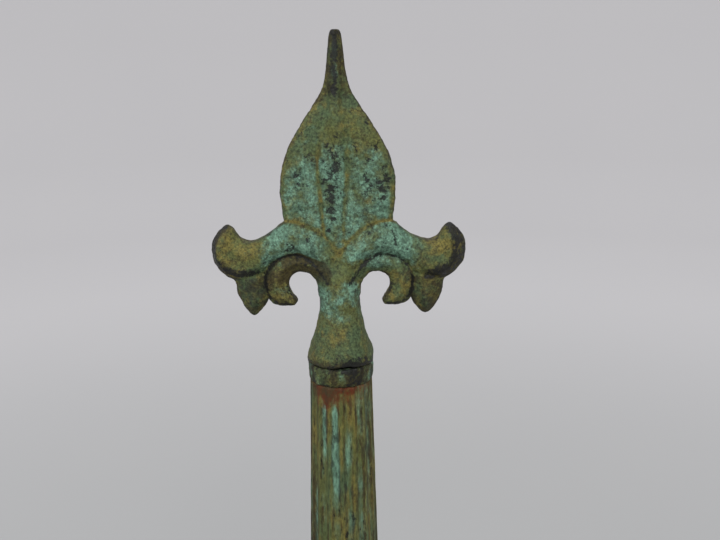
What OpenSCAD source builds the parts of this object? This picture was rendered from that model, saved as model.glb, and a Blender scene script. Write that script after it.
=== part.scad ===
// Semaphore signal on a short fluted post: a square base, a cast shoe, a tapering fluted column, an
// upper-quadrant arm worked by a down rod and a weighted balance lever, a lamp behind the spectacle, and a
// fleur-de-lis finial. Z is up. X runs along the arm and Y runs from the front to the back. "Forward"
// distances are measured from the post's axis towards -Y, where the arm is.

/* [Post] */
// Diameter of the fluted post where it meets the finial's collar
post_top_d = 24; // [22:0.5:30]
// Diameter of the fluted post where it stands in the shoe
post_foot_d = 44; // [38:1:52]
// Length of post that shows between the shoe and the collar
post_l = 400; // [380:5:520]
// Number of flutes round the post
flute_n = 16; // [12:1:20]
// Depth of a flute as a share of the post's radius
flute_depth_share = 0.062; // [0.03:0.002:0.08]
// Wall of the hollow post at its foot
post_wall = 5; // [3.5:0.5:7]

/* [Base] */
// Side of the square base plate
base_w = 110; // [104:1:150]
// Thickness of the lower step of the base plate
base_step_t = 6; // [6:0.5:10]
// Thickness of the upper step of the base plate
base_top_t = 4; // [4:0.5:8]
// Distance between the centres of neighbouring mounting holes
base_hole_pitch = 80; // [76:1:92]
// Radius of a mounting hole
base_hole_r = 2.75; // [2:0.25:3.5]
// Height of the cast shoe above the base plate
shoe_h = 52; // [48:1:70]
// How far the shoe's bolted flange stands out past the shoe's waist
shoe_flange_w = 15; // [15:0.5:17]

/* [Finial] */
// Height from the underside of the collar to the finial's tip
finial_h = 133; // [110:1:160]
// Width of the finial over the two side petals
finial_w = 98; // [80:1:120]
// Thickness of the centre leaf
leaf_t = 8; // [6:0.5:12]
// Thickness of the side petals
petal_t = 12; // [8:0.5:15]
// Height of the separate collar ring under the finial
collar_h = 7.6; // [5:0.2:10]

/* [Signal arm] */
// Length of the arm from its pivot to the blade's end
arm_l = 226; // [180:2:240]
// Width of the blade at its end
blade_w = 28; // [22:1:34]
// Thickness of the blade's sheet
blade_t = 1.6; // [1:0.1:2.5]
// Distance from the collar down to the arm's pivot
pivot_drop = 128; // [120:1:150]
// Angle the arm rises through, from danger to clear
arm_swing = 45; // [35:1:50]
// Distance from the pivot to the centre of each coloured glass
glass_reach = 46; // [45:0.5:50]
// Radius of the open hole in each spectacle ring
glass_hole_r = 11; // [9:0.5:11.5]

/* [Linkage] */
// Distance between the arm's pivot and the balance lever's pivot
rod_l = 190; // [160:1:200]
// Radius of both cranks, which are equal so that they stay parallel
crank_r = 26; // [24:0.5:27]
// Radius of the down rod
rod_r = 1.6; // [1.2:0.1:1.8]
// Radius of the balance weight
weight_r = 17; // [12:0.5:20]
// Distance from the lever's pivot to the balance weight
weight_reach = 64; // [58:1:70]
// Distance from the lever's pivot to the hole for the signal wire
wire_reach = 42; // [38:0.5:48]
// Radius of the hole for the signal wire
wire_hole_r = 1.6; // [1:0.1:2]

/* [Lamp] */
// Side of the lamp's square case
lamp_w = 27; // [24:0.5:28]
// Height of the lamp's case
lamp_h = 46; // [44:1:54]
// Thickness of the lamp's sheet metal
lamp_sheet = 1.2; // [0.8:0.1:1.6]

/* [Fits] */
// Gap between a turning bush and its spindle, on the radius
run_gap = 0.05; // [0.02:0.01:0.1]
// Gap between pieces of different bodies that face each other
face_gap = 0.3; // [0.2:0.05:0.5]
// Gap round a fixed piece in its seat
seat_gap = 0.02; // [0.01:0.01:0.1]
// Gap round a screw in its hole
screw_gap = 0.1; // [0.05:0.05:0.2]

/* [Hidden] */
$fn = 64;

// Heights of the main levels
base_t = base_step_t + base_top_t;
shoe_top_z = base_t + shoe_h;
collar_z = shoe_top_z + post_l;
arm_z = collar_z - pivot_drop;
lever_z = arm_z - rod_l;

// Post
post_top_r = post_top_d / 2;
post_foot_r = post_foot_d / 2;
post_spigot_l = 30;
post_spigot_r = post_foot_r - 1;
post_bore_r = post_top_r - 3;
post_bore_l = 16;
post_bore_z = collar_z - post_bore_l;
flute_r_share = 0.192;
flute_gap_z = 9;
function post_r(z) = post_top_r + (post_foot_r - post_top_r) * (collar_z - z) / post_l;

// Tie rod
tie_r = 3;
tie_nut_r = 5.8;
tie_nut_h = 3.4;
tie_washer_r = 8;
tie_washer_t = 1.2;
tie_recess_r = 9.4;
tie_recess_h = tie_nut_h + tie_washer_t + 0.8;
tie_depth = 18;

// Spindles, hubs and bushes
spindle_r = 3.5;
thread_r = 2.5;
bush_t = 1.1;
bush_r = spindle_r + run_gap + bush_t;
hub_r = 8;
washer_t = 1;
spindle_nut_l = 4;
spindle_end = 3.4;

// Bracket clamps round the post
clamp_wall = 4.6;
clamp_h = 22;
clamp_split = 0.5;
clamp_ear_t = 4.5;
clamp_ear_l = 11;
clamp_bolt_dz = 6.5;
clamp_bolt_out = 6;
m3_r = 1.5;
m3_head_r = 3.1;
m3_head_h = 2.4;
function clamp_r(z) = post_r(z) + clamp_wall;

// Forward distances of the planes that the arm, the lever and the rod work in. The bosses stand clear of the
// larger clamp, which is the lever's
boss_f = clamp_r(lever_z) + 5.45;
hub_l = 11;
hub_back_f = boss_f + face_gap;
hub_front_f = hub_back_f + hub_l;
plate_back_f = boss_f + 5.5;
plate_t = 3;
plate_front_f = plate_back_f + plate_t;
eye_t = 3;
rod_f = boss_f + 0.9 + eye_t / 2;
shoulder_f = hub_front_f + face_gap + washer_t;

// Cranks: half the swing lies above the level of the pivot and half below it
crank_angle = 180 - arm_swing / 2;
crank_x = crank_r * cos(crank_angle);
crank_z = crank_r * sin(crank_angle);
crank_pin_r = 2;
eye_r = 5;
rivet_h = 1.2;
pin_washer_t = 0.7;
pin_back_f = rod_f - eye_t / 2 - face_gap - pin_washer_t;

// Spectacle
ring_wall = 3.5;
ring_r = glass_hole_r + ring_wall;
glass_r = glass_hole_r + 1.2;
glass_t = 1.4;
tongue_l = 54;
tongue_h = 12;
glass_web_h = 10.4;
bolt_xs = [22, 34, 46];

// Lamp
lamp_x = -glass_reach;
lamp_bottom_z = arm_z - 31.7;
lamp_case_z = lamp_bottom_z + 3.7;
lamp_top_z = lamp_case_z + lamp_h;
lens_hole_r = 9;
door_gap = 0.3;
door_w = lamp_w - 2;
door_h = lamp_h - 4;
hinge_out = 3.2;
hinge_back = 1.9;
hinge_pin_r = 0.9;
knuckle_r = 2;
knuckle_h = 8;

// ---- Helpers ----

// A cylinder along Y from forward distance f0 to f1
module pin_y(f0, f1, r, x = 0, z = 0) {
    translate([x, -f0, z]) rotate([90, 0, 0]) cylinder(h = f1 - f0, r = r);
}

// A hexagonal prism along Y, r being the radius over its corners
module hex_y(f0, f1, r, x = 0, z = 0) {
    translate([x, -f0, z]) rotate([90, 0, 0]) cylinder(h = f1 - f0, r = r, $fn = 6);
}

// A flat plate: children are drawn in X and Z, and it runs from forward distance f0 to f1
module plate_y(f0, f1) {
    translate([0, -f0, 0]) rotate([90, 0, 0]) linear_extrude(height = f1 - f0) children();
}

// A square slab with round corners, made of true cylinders and boxes
module rounded_slab(w, t, r) {
    translate([-w / 2 + r, -w / 2, 0]) cube([w - 2 * r, w, t]);
    translate([-w / 2, -w / 2 + r, 0]) cube([w, w - 2 * r, t]);
    for (sx = [-1, 1], sy = [-1, 1])
        translate([sx * (w / 2 - r), sy * (w / 2 - r), 0]) cylinder(h = t, r = r);
}

// Points along an arc
function arc(cx, cy, r, a0, a1, n = 8) = [
    for (i = [0:n]) let (a = a0 + (a1 - a0) * i / n) [cx + r * cos(a), cy + r * sin(a)]
];

// A closed smooth curve through the points of a ring, n steps between neighbours
function spline_at(a, b, c, d, t) =
    0.5 * (2 * b + (c - a) * t + (2 * a - 5 * b + 4 * c - d) * t * t + (3 * b - a - 3 * c + d) * t * t * t);
function smooth_ring(p, n = 4) = let (m = len(p)) [
    for (i = [0:m - 1], k = [0:n - 1])
        spline_at(p[(i + m - 1) % m], p[i], p[(i + 1) % m], p[(i + 2) % m], k / n)
];

// ---- Base and shoe ----

module base_plate() color("darkslategray") difference() {
    union() {
        rounded_slab(base_w, base_step_t, 14);
        translate([0, 0, base_step_t]) rounded_slab(base_w - 12, base_top_t, 12);
    }
    translate([0, 0, -1]) cylinder(h = base_t + 2, r = tie_r + 0.2);
    translate([0, 0, -1]) cylinder(h = tie_recess_h + 1, r = tie_recess_r);
    for (sx = [-1, 1], sy = [-1, 1])
        translate([sx * base_hole_pitch / 2, sy * base_hole_pitch / 2, -1])
            cylinder(h = base_t + 2, r = base_hole_r);
    shoe_bolt_places() translate([0, 0, base_t - shoe_bolt_grip])
        cylinder(h = shoe_bolt_grip + 1, r = shoe_bolt_r + screw_gap);
}

shoe_bolt_r = 2.5;
shoe_bolt_grip = 6.5;
shoe_bolt_head_r = 4.6;
shoe_flange_t = 6;
shoe_waist_r = post_foot_r + 5;
shoe_flange_r = shoe_waist_r + shoe_flange_w;
shoe_cove_r = 3;
shoe_bolt_ring_r = shoe_flange_r - 7;
shoe_seat_z = shoe_top_z - post_spigot_l;

// The four places of the shoe's bolts, on the X and Y axes
module shoe_bolt_places() {
    for (a = [0:90:270]) rotate([0, 0, a]) translate([shoe_bolt_ring_r, 0, 0]) children();
}

// Half section of the shoe: flange, cove, ring and socket rim
shoe_section = concat(
    [[0, 0], [shoe_flange_r, 0], [shoe_flange_r, shoe_flange_t - 1.5], [shoe_flange_r - 1.5, shoe_flange_t]],
    arc(shoe_waist_r + shoe_cove_r, shoe_flange_t + shoe_cove_r, shoe_cove_r, 270, 180, 6),
    [[shoe_waist_r, shoe_h - 16]],
    arc(shoe_waist_r, shoe_h - 12, 3, -80, 80, 8),
    [[shoe_waist_r - 1, shoe_h - 7], [shoe_waist_r - 1, shoe_h - 1], [shoe_waist_r - 2, shoe_h], [0, shoe_h]]
);

module column_shoe() color("darkslategray") difference() {
    translate([0, 0, base_t]) rotate_extrude() polygon(shoe_section);
    translate([0, 0, shoe_seat_z]) cylinder(h = post_spigot_l + 1, r = post_spigot_r + seat_gap);
    translate([0, 0, base_t - 1]) cylinder(h = shoe_seat_z - base_t + 2, r = post_foot_r - post_wall);
    shoe_bolt_places() translate([0, 0, base_t - 1])
        cylinder(h = shoe_flange_t + 2, r = shoe_bolt_r + screw_gap);
    post_screw_places() cylinder(h = 12, r = m3_r + screw_gap);
}

module shoe_bolts() color("saddlebrown") shoe_bolt_places() {
    translate([0, 0, base_t + shoe_flange_t]) cylinder(h = 3.5, r = shoe_bolt_head_r, $fn = 6);
    translate([0, 0, base_t - shoe_bolt_grip + 0.5])
        cylinder(h = shoe_bolt_grip - 0.5 + shoe_flange_t, r = shoe_bolt_r);
}

// Three radial places for the screws that hold the post in its socket, starting at the spigot's surface
post_screw_z = shoe_top_z - 4;
module post_screw_places() {
    for (a = [30:120:270]) rotate([0, 0, a])
        translate([post_spigot_r, 0, post_screw_z]) rotate([0, 90, 0]) children();
}

module post_set_screws() color("saddlebrown") post_screw_places() {
    cylinder(h = 6, r = m3_r);
    translate([0, 0, 5.2]) cylinder(h = 3, r = 2.6, $fn = 4);
}

// ---- Post and tie rod ----

module fluted_post() color("olivedrab") difference() {
    union() {
        translate([0, 0, shoe_top_z]) cylinder(h = post_l, r1 = post_foot_r, r2 = post_top_r, $fn = 128);
        translate([0, 0, shoe_seat_z]) cylinder(h = post_spigot_l + 1, r = post_spigot_r);
    }
    for (i = [0:flute_n - 1]) rotate([0, 0, (i + 0.5) * 360 / flute_n]) flute();
    translate([0, 0, shoe_seat_z - 1])
        cylinder(h = post_bore_z - shoe_seat_z + 1.5, r1 = post_foot_r - post_wall, r2 = post_bore_r);
    translate([0, 0, post_bore_z]) cylinder(h = post_bore_l + 1, r = post_bore_r);
}

// One flute: a cone laid along the post's slope, so that it narrows as the post does
module flute() {
    start_z = shoe_top_z + flute_gap_z;
    over = 3;
    share_out = 1 + flute_r_share - flute_depth_share;
    r_start = post_r(start_z);
    r_end = post_r(collar_z + over);
    rise = collar_z + over - start_z;
    run = share_out * (r_start - r_end);
    translate([share_out * r_start, 0, start_z]) rotate([0, -atan(run / rise), 0])
        cylinder(h = sqrt(rise * rise + run * run), r1 = flute_r_share * r_start, r2 = flute_r_share * r_end);
}

module tie_rod() color("gray") translate([0, 0, 0.8]) cylinder(h = collar_z + tie_depth - 0.8, r = tie_r);

module tie_rod_washer() color("gray") translate([0, 0, tie_recess_h - tie_washer_t]) difference() {
    cylinder(h = tie_washer_t, r = tie_washer_r);
    translate([0, 0, -1]) cylinder(h = tie_washer_t + 2, r = tie_r + screw_gap);
}

module tie_rod_nut() color("gray") translate([0, 0, tie_recess_h - tie_washer_t - tie_nut_h]) difference() {
    cylinder(h = tie_nut_h, r = tie_nut_r, $fn = 6);
    translate([0, 0, -1]) cylinder(h = tie_nut_h + 2, r = tie_r + seat_gap);
}

// ---- Finial ----

// The outlines are drawn for a finial of this size and scaled to the size that is set
drawn_finial_h = 133;
drawn_finial_w = 98;
function fit_finial(p) = [for (q = p) [q[0] * finial_w / drawn_finial_w, q[1] * finial_h / drawn_finial_h]];

neck_section = [
    [0, collar_h], [post_top_r + 1, collar_h], [post_top_r + 1.1, collar_h + 2.4], [11.7, 14], [9.9, 20],
    [8.5, 26], [7.9, 31], [7.9, 37], [8.4, 43], [0, 48]
];
leaf_side = [
    [1.8, 133], [2.8, 125], [4, 117.3], [8.6, 106.6], [16.3, 94.4], [20.9, 82.5], [21.6, 74],
    [20.4, 63], [13, 51]
];
petal_ring = [
    [2, 58], [12, 62.5], [20.4, 63], [28.8, 57.6], [33.3, 55.9], [38, 57.4], [42.2, 62.6], [46.4, 59.4],
    [48.9, 52.6], [47.3, 46], [41.5, 40.6], [34, 40.4], [28, 44.2], [23, 48.4], [16, 49.8], [9.6, 46],
    [6, 40], [0, 38]
];
bud_ring = [[39.9, 42], [39.6, 35], [37.1, 30.2], [33.2, 26.8], [29.8, 28.6], [27.6, 33], [28, 42], [34, 45]];
curl_ring = [
    [3, 46], [10, 49.4], [16, 51.5], [23, 49.6], [28, 44.5], [28.6, 36], [26.5, 31.2], [22.4, 30.1],
    [18.2, 30.4], [16.8, 32.4], [18.4, 35.2], [19.4, 39.8], [17.6, 42.8], [15, 43.8], [11.6, 42.9], [9, 40],
    [7.9, 35], [3, 34]
];

module finial() color("mediumaquamarine") difference() {
    translate([0, 0, collar_z]) {
        rotate_extrude($fn = 96) polygon(neck_section);
        leaf();
        for (side = [0, 1]) mirror([side, 0, 0]) {
            petal_slab(petal_ring, petal_t);
            petal_slab(curl_ring, petal_t - 2.6);
            petal_slab(bud_ring, petal_t - 4);
        }
        translate([0, 0, collar_h - finial_spigot_l])
            cylinder(h = finial_spigot_l + 1, r = post_bore_r - seat_gap);
    }
    translate([0, 0, collar_z - finial_spigot_l])
        cylinder(h = finial_spigot_l + tie_depth + 2, r = tie_r + screw_gap);
}
finial_spigot_l = post_bore_l - 3;

module petal_slab(ring, t) {
    plate_y(-t / 2, t / 2) polygon(fit_finial(smooth_ring(ring, 3)));
}

module leaf() {
    right = leaf_side;
    left = [for (i = [len(leaf_side) - 1:-1:0]) [-leaf_side[i][0], leaf_side[i][1]]];
    plate_y(-leaf_t / 2, leaf_t / 2) polygon(fit_finial(concat(right, left)));
}

module finial_collar() color("seagreen") translate([0, 0, collar_z]) difference() {
    cylinder(h = collar_h, r1 = post_top_r + 0.2, r2 = post_top_r + 0.9);
    translate([0, 0, -1]) cylinder(h = collar_h + 2, r = post_bore_r);
}

// ---- Brackets that clamp round the post ----

// One half of a clamp at height z. It hugs the tapering post, and side 1 is the front half
module clamp_half(z, side) {
    r = clamp_r(z);
    ear_end = r + clamp_ear_l;
    low = z - clamp_h / 2 - 1;
    high = z + clamp_h / 2 + 1;
    difference() {
        union() {
            translate([0, 0, z - clamp_h / 2]) cylinder(h = clamp_h, r = r);
            translate([-ear_end, -clamp_split - clamp_ear_t, z - clamp_h / 2])
                cube([2 * ear_end, 2 * (clamp_split + clamp_ear_t), clamp_h]);
            children();
        }
        translate([0, 0, low])
            cylinder(h = high - low, r1 = post_r(low) + seat_gap, r2 = post_r(high) + seat_gap);
        translate([-100, side > 0 ? -clamp_split : clamp_split - 200, z - 100]) cube([200, 200, 200]);
        clamp_bolt_places(z) pin_y(-20, 20, m3_r + screw_gap);
    }
}

module clamp_bolt_places(z) {
    for (sx = [-1, 1], sz = [-1, 1])
        translate([sx * (clamp_r(z) + clamp_bolt_out), 0, z + sz * clamp_bolt_dz]) children();
}

// The front half of a bracket, with the boss that holds a spindle
module spindle_bracket(z) {
    difference() {
        clamp_half(z, 1) {
            pin_y(post_r(z) - 2, boss_f, hub_r + 1, 0, z);
            children();
        }
        pin_y(post_r(z) + 0.9, boss_f + 1, spindle_r + seat_gap, 0, z);
    }
}

stop_x = 16;
stop_w = 8;
stop_f = plate_front_f + 2.5;
stop_back_f = 12;
stop_drop = 10;
stop_h = 7;
stop_screw_f = plate_back_f + plate_t / 2 - face_gap;
module arm_bracket() color("darkolivegreen") difference() {
    spindle_bracket(arm_z)
        translate([stop_x - stop_w / 2, -stop_f, arm_z - stop_drop - stop_h])
            cube([stop_w, stop_f - stop_back_f, stop_h]);
    translate([stop_x, -stop_screw_f, arm_z - stop_drop - stop_h - 1])
        cylinder(h = stop_h + 2, r = m3_r + seat_gap);
}

module arm_bracket_strap() color("darkolivegreen") clamp_half(arm_z, -1);

module lever_bracket() color("darkolivegreen") spindle_bracket(lever_z);

module lever_bracket_strap() color("darkolivegreen") clamp_half(lever_z, -1);

module clamp_bolts() color("saddlebrown") for (z = [arm_z, lever_z]) clamp_bolt_places(z) {
    hex_y(clamp_split + clamp_ear_t, clamp_split + clamp_ear_t + m3_head_h, m3_head_r);
    pin_y(-clamp_split - clamp_ear_t - m3_head_h - 1, clamp_split + clamp_ear_t, m3_r);
}

module clamp_nuts() color("saddlebrown") for (z = [arm_z, lever_z]) clamp_bolt_places(z) difference() {
    hex_y(-clamp_split - clamp_ear_t - m3_head_h, -clamp_split - clamp_ear_t, m3_head_r);
    pin_y(-20, 0, m3_r + seat_gap);
}

// A spindle: plain in the boss and the bush, then threaded for its nut
module spindle(z) {
    pin_y(post_r(z) + 1, shoulder_f, spindle_r, 0, z);
    difference() {
        pin_y(shoulder_f - 1, shoulder_f + spindle_nut_l + spindle_end, thread_r, 0, z);
        translate([0, -split_pin_f, z - 5]) cylinder(h = 10, r = split_pin_r + seat_gap);
    }
}
split_pin_r = 0.6;
split_pin_f = shoulder_f + spindle_nut_l + 1.4;

module arm_spindle() color("gray") spindle(arm_z);

module lever_spindle() color("gray") spindle(lever_z);

module spindle_washers() color("gray") for (z = [arm_z, lever_z]) difference() {
    pin_y(shoulder_f - washer_t, shoulder_f, hub_r - 1, 0, z);
    pin_y(0, 100, spindle_r + seat_gap, 0, z);
}

module spindle_nuts() color("saddlebrown") for (z = [arm_z, lever_z]) difference() {
    hex_y(shoulder_f, shoulder_f + spindle_nut_l, 5.2, 0, z);
    pin_y(0, 100, thread_r + seat_gap, 0, z);
}

module split_pins() color("gray") for (z = [arm_z, lever_z]) translate([0, -split_pin_f, z]) {
    translate([0, 0, -4.4]) cylinder(h = 8, r = split_pin_r);
    translate([0, 0, 5]) rotate([90, 0, 0]) rotate_extrude() translate([1.4, 0]) circle(r = 0.55, $fn = 24);
}

module danger_stop_screw() color("saddlebrown")
    translate([stop_x, -stop_screw_f, arm_z - stop_drop - stop_h - 6])
        cylinder(h = stop_drop + stop_h + 6 - tongue_h / 2 - face_gap, r = m3_r);

module danger_stop_nut() color("saddlebrown")
    translate([stop_x, -stop_screw_f, arm_z - stop_drop - stop_h - m3_head_h]) difference() {
        cylinder(h = m3_head_h, r = m3_head_r, $fn = 6);
        translate([0, 0, -1]) cylinder(h = m3_head_h + 2, r = m3_r + seat_gap);
    }

// ---- Arm: spectacle, blade and glasses ----

// The two places of the coloured glasses: red level with the pivot, green one swing above it
function unit(angle) = [cos(angle), sin(angle)];
glass_places = [glass_reach * unit(180), glass_reach * unit(180 - arm_swing)];
glass_web_l = glass_reach - glass_hole_r - 2;

// A flat bar of the spectacle plate from the pivot towards an angle
module web(angle, length, h) {
    translate([0, 0, arm_z]) rotate([0, -angle, 0])
        translate([0, -plate_front_f, -h / 2]) cube([length, plate_t, h]);
}

module spectacle() color("darkolivegreen") difference() {
    union() {
        pin_y(hub_back_f, hub_front_f, hub_r, 0, arm_z);
        pin_y(plate_back_f, plate_front_f, hub_r + 3, 0, arm_z);
        web(0, tongue_l, tongue_h);
        web(180, glass_web_l, glass_web_h);
        web(180 - arm_swing, glass_web_l, glass_web_h);
        translate([0, 0, arm_z]) plate_y(plate_back_f, plate_front_f)
            polygon([[0, 0], glass_web_l * unit(180 - arm_swing), glass_web_l * unit(180)]);
        pin_y(plate_back_f, plate_front_f, eye_r + 0.6, crank_x, arm_z + crank_z);
        for (p = glass_places) pin_y(plate_back_f, plate_front_f, ring_r, p[0], arm_z + p[1]);
    }
    pin_y(0, 100, bush_r + seat_gap, 0, arm_z);
    pin_y(0, 100, crank_pin_r + seat_gap, crank_x, arm_z + crank_z);
    for (p = glass_places) {
        pin_y(0, 100, glass_hole_r, p[0], arm_z + p[1]);
        pin_y(plate_front_f - glass_t, 100, glass_r + screw_gap, p[0], arm_z + p[1]);
    }
    for (x = bolt_xs) pin_y(0, 100, m3_r + screw_gap, x, arm_z);
}

// A plain bush from the back of a hub to its front
module bush(z) {
    difference() {
        pin_y(hub_back_f, hub_front_f, bush_r, 0, z);
        pin_y(0, 100, spindle_r + run_gap, 0, z);
    }
}

module arm_bush() color("goldenrod") bush(arm_z);

// The blade widens from root to end. Its edges are turned back to stiffen it
blade_root_x = 14;
blade_waist_x = 58;
blade_root_w = 17;
blade_lip = 2.6;
function blade_outline(inset) = [
    [blade_root_x + inset, -blade_root_w / 2 + inset], [blade_waist_x, -blade_w / 2 + 2 + inset],
    [arm_l - inset, -blade_w / 2 + inset], [arm_l - inset, blade_w / 2 - inset],
    [blade_waist_x, blade_w / 2 - 2 - inset], [blade_root_x + inset, blade_root_w / 2 - inset]
];

module arm_blade() color("firebrick") translate([0, 0, arm_z]) difference() {
    union() {
        plate_y(plate_front_f, plate_front_f + blade_t) polygon(blade_outline(0));
        difference() {
            plate_y(plate_front_f - blade_lip, plate_front_f + blade_t / 2) polygon(blade_outline(0));
            plate_y(plate_front_f - blade_lip - 1, plate_front_f + blade_t) polygon(blade_outline(1.4));
            translate([0, -100, -50]) cube([blade_waist_x + 2, 200, 100]);
        }
    }
    for (x = bolt_xs) pin_y(0, 100, m3_r + screw_gap, x, 0);
}

arm_bolt_head_h = 2;
module arm_bolts() color("saddlebrown") for (x = bolt_xs) {
    hex_y(plate_front_f + blade_t, plate_front_f + blade_t + arm_bolt_head_h, m3_head_r, x, arm_z);
    pin_y(plate_back_f - m3_head_h - 0.6, plate_front_f + blade_t, m3_r, x, arm_z);
}

module arm_nuts() color("saddlebrown") for (x = bolt_xs) difference() {
    hex_y(plate_back_f - m3_head_h, plate_back_f, m3_head_r, x, arm_z);
    pin_y(0, 100, m3_r + seat_gap, x, arm_z);
}

module glass_disc(p) {
    pin_y(plate_front_f - glass_t, plate_front_f, glass_r, p[0], arm_z + p[1]);
}

module red_glass() color("red") glass_disc(glass_places[0]);

module green_glass() color("teal") glass_disc(glass_places[1]);

glass_ring_t = 1;
module glass_rings() color("goldenrod") for (p = glass_places) difference() {
    pin_y(plate_front_f, plate_front_f + glass_ring_t, glass_r + 1, p[0], arm_z + p[1]);
    pin_y(0, 100, glass_hole_r - 0.4, p[0], arm_z + p[1]);
}

// ---- Down rod and its pins ----

// A headed pin riveted over a washer, through the plate from forward distance back to front
module crank_pin(z, front) {
    pin_y(pin_back_f - rivet_h, pin_back_f, crank_pin_r + 0.8, crank_x, z + crank_z);
    pin_y(pin_back_f - 0.5, front + 0.5, crank_pin_r, crank_x, z + crank_z);
    pin_y(front, front + 1.5, crank_pin_r + 1.5, crank_x, z + crank_z);
}

module pin_washer(z) {
    difference() {
        pin_y(pin_back_f, pin_back_f + pin_washer_t, crank_pin_r + 1.8, crank_x, z + crank_z);
        pin_y(0, 100, crank_pin_r + seat_gap, crank_x, z + crank_z);
    }
}

module arm_crank_pin() color("gray") crank_pin(arm_z, plate_front_f);

module arm_pin_washer() color("gray") pin_washer(arm_z);

eye_shank_l = 14;
eye_shank_r = 2.6;
rod_in_eye = 6;
module rod_eye(z, down) {
    difference() {
        union() {
            pin_y(rod_f - eye_t / 2, rod_f + eye_t / 2, eye_r, crank_x, z + crank_z);
            along_rod(z, down) cylinder(h = eye_shank_l, r = eye_shank_r);
        }
        pin_y(0, rod_f - eye_t / 2, eye_r, crank_x, z + crank_z);
        pin_y(rod_f + eye_t / 2, 100, eye_r, crank_x, z + crank_z);
        pin_y(0, 100, crank_pin_r + run_gap, crank_x, z + crank_z);
        along_rod(z, down) translate([0, 0, eye_shank_l - rod_in_eye])
            cylinder(h = rod_in_eye + 1, r = rod_r + seat_gap);
    }
}

// From a crank pin, along the rod: downwards at the top eye and upwards at the bottom one
module along_rod(z, down) {
    translate([crank_x, -rod_f, z + crank_z]) rotate([down ? 180 : 0, 0, 0]) children();
}

module rod_eyes() color("darkolivegreen") {
    rod_eye(arm_z, true);
    rod_eye(lever_z, false);
}

rod_inset = eye_shank_l - rod_in_eye + 0.5;
module down_rod() color("gray")
    translate([crank_x, -rod_f, lever_z + crank_z + rod_inset])
        cylinder(h = rod_l - 2 * rod_inset, r = rod_r);

module rod_lock_nuts() color("saddlebrown")
    for (z = [lever_z + crank_z + eye_shank_l, arm_z + crank_z - eye_shank_l - m3_head_h])
        translate([crank_x, -rod_f, z]) difference() {
            cylinder(h = m3_head_h, r = m3_head_r, $fn = 6);
            translate([0, 0, -1]) cylinder(h = m3_head_h + 2, r = rod_r + seat_gap);
        }

// ---- Balance lever ----

lever_t = 4;
lever_h = 9;
lever_front_f = plate_back_f + lever_t;
lever_l = weight_reach + weight_r + 3;

// Turns children from the lever's own line to the angle it rests at
module on_lever() {
    translate([0, 0, lever_z]) rotate([0, arm_swing / 2, 0]) children();
}

module balance_lever() color("darkolivegreen") difference() {
    union() {
        pin_y(hub_back_f, hub_front_f, hub_r, 0, lever_z);
        on_lever() {
            translate([-wire_reach, -lever_front_f, -lever_h / 2])
                cube([wire_reach + lever_l, lever_t, lever_h]);
            pin_y(plate_back_f, lever_front_f, lever_h / 2 + 0.4, -wire_reach, 0);
        }
    }
    pin_y(0, 100, bush_r + seat_gap, 0, lever_z);
    pin_y(0, 100, crank_pin_r + seat_gap, crank_x, lever_z + crank_z);
    on_lever() pin_y(0, 100, wire_hole_r, -wire_reach, 0);
}

module lever_bush() color("goldenrod") bush(lever_z);

weight_t = 14;
weight_back_f = plate_back_f + lever_t / 2 - weight_t / 2;
module balance_weight() color("dimgray") on_lever() difference() {
    pin_y(weight_back_f, weight_back_f + weight_t, weight_r, weight_reach, 0);
    translate([0, -lever_front_f - seat_gap, -lever_h / 2 - seat_gap])
        cube([2 * lever_l, lever_t + 2 * seat_gap, lever_h + 2 * seat_gap]);
    translate([weight_reach, -(plate_back_f + lever_t / 2), 0])
        cylinder(h = 2 * weight_r, r = m3_r + seat_gap);
}

module weight_set_screw() color("saddlebrown") on_lever()
    translate([weight_reach, -(plate_back_f + lever_t / 2), lever_h / 2 + seat_gap]) {
        cylinder(h = weight_r - lever_h / 2 + 1, r = m3_r);
        translate([0, 0, weight_r - lever_h / 2 + 0.5]) cylinder(h = 2.5, r = 2.6, $fn = 4);
    }

module lever_crank_pin() color("gray") crank_pin(lever_z, lever_front_f);

module lever_pin_washer() color("gray") pin_washer(lever_z);

// ---- Lamp bracket ----

lamp_ring_z = arm_z - 40;
lamp_ring_h = 12;
lamp_ring_low = lamp_ring_z - lamp_ring_h / 2;
lamp_ring_r = post_r(lamp_ring_z) + 4.2;
lamp_shelf_r = 10;
lamp_spigot_r = 2.5;
lamp_spigot_l = 8;
module lamp_bracket() color("darkolivegreen") difference() {
    union() {
        translate([0, 0, lamp_ring_low]) cylinder(h = lamp_ring_h, r = lamp_ring_r);
        translate([lamp_ring_r - 3, -5.5, lamp_ring_low]) cube([13, 11, lamp_ring_h]);
        translate([lamp_x, -4, lamp_ring_low]) cube([-lamp_x - lamp_ring_r + 2, 8, lamp_ring_h - 3]);
        translate([lamp_x, 0, lamp_ring_low])
            cylinder(h = lamp_bottom_z - lamp_ring_low - face_gap, r = lamp_shelf_r);
        translate([lamp_x, 0, lamp_bottom_z - 1]) cylinder(h = lamp_spigot_l + 1, r = lamp_spigot_r);
    }
    translate([0, 0, lamp_ring_low - 1])
        cylinder(h = lamp_ring_h + 2, r1 = post_r(lamp_ring_low - 1) + seat_gap,
                 r2 = post_r(lamp_ring_low + lamp_ring_h + 1) + seat_gap);
    translate([8, -1, lamp_ring_z - 50]) cube([60, 2, 100]);
    pin_y(-50, 50, m3_r + screw_gap, lamp_ring_r + 5, lamp_ring_z);
}

module lamp_bracket_screw() color("saddlebrown") {
    hex_y(5.5, 5.5 + m3_head_h, m3_head_r, lamp_ring_r + 5, lamp_ring_z);
    pin_y(-5.5 - m3_head_h - 1, 5.5, m3_r, lamp_ring_r + 5, lamp_ring_z);
}

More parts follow.
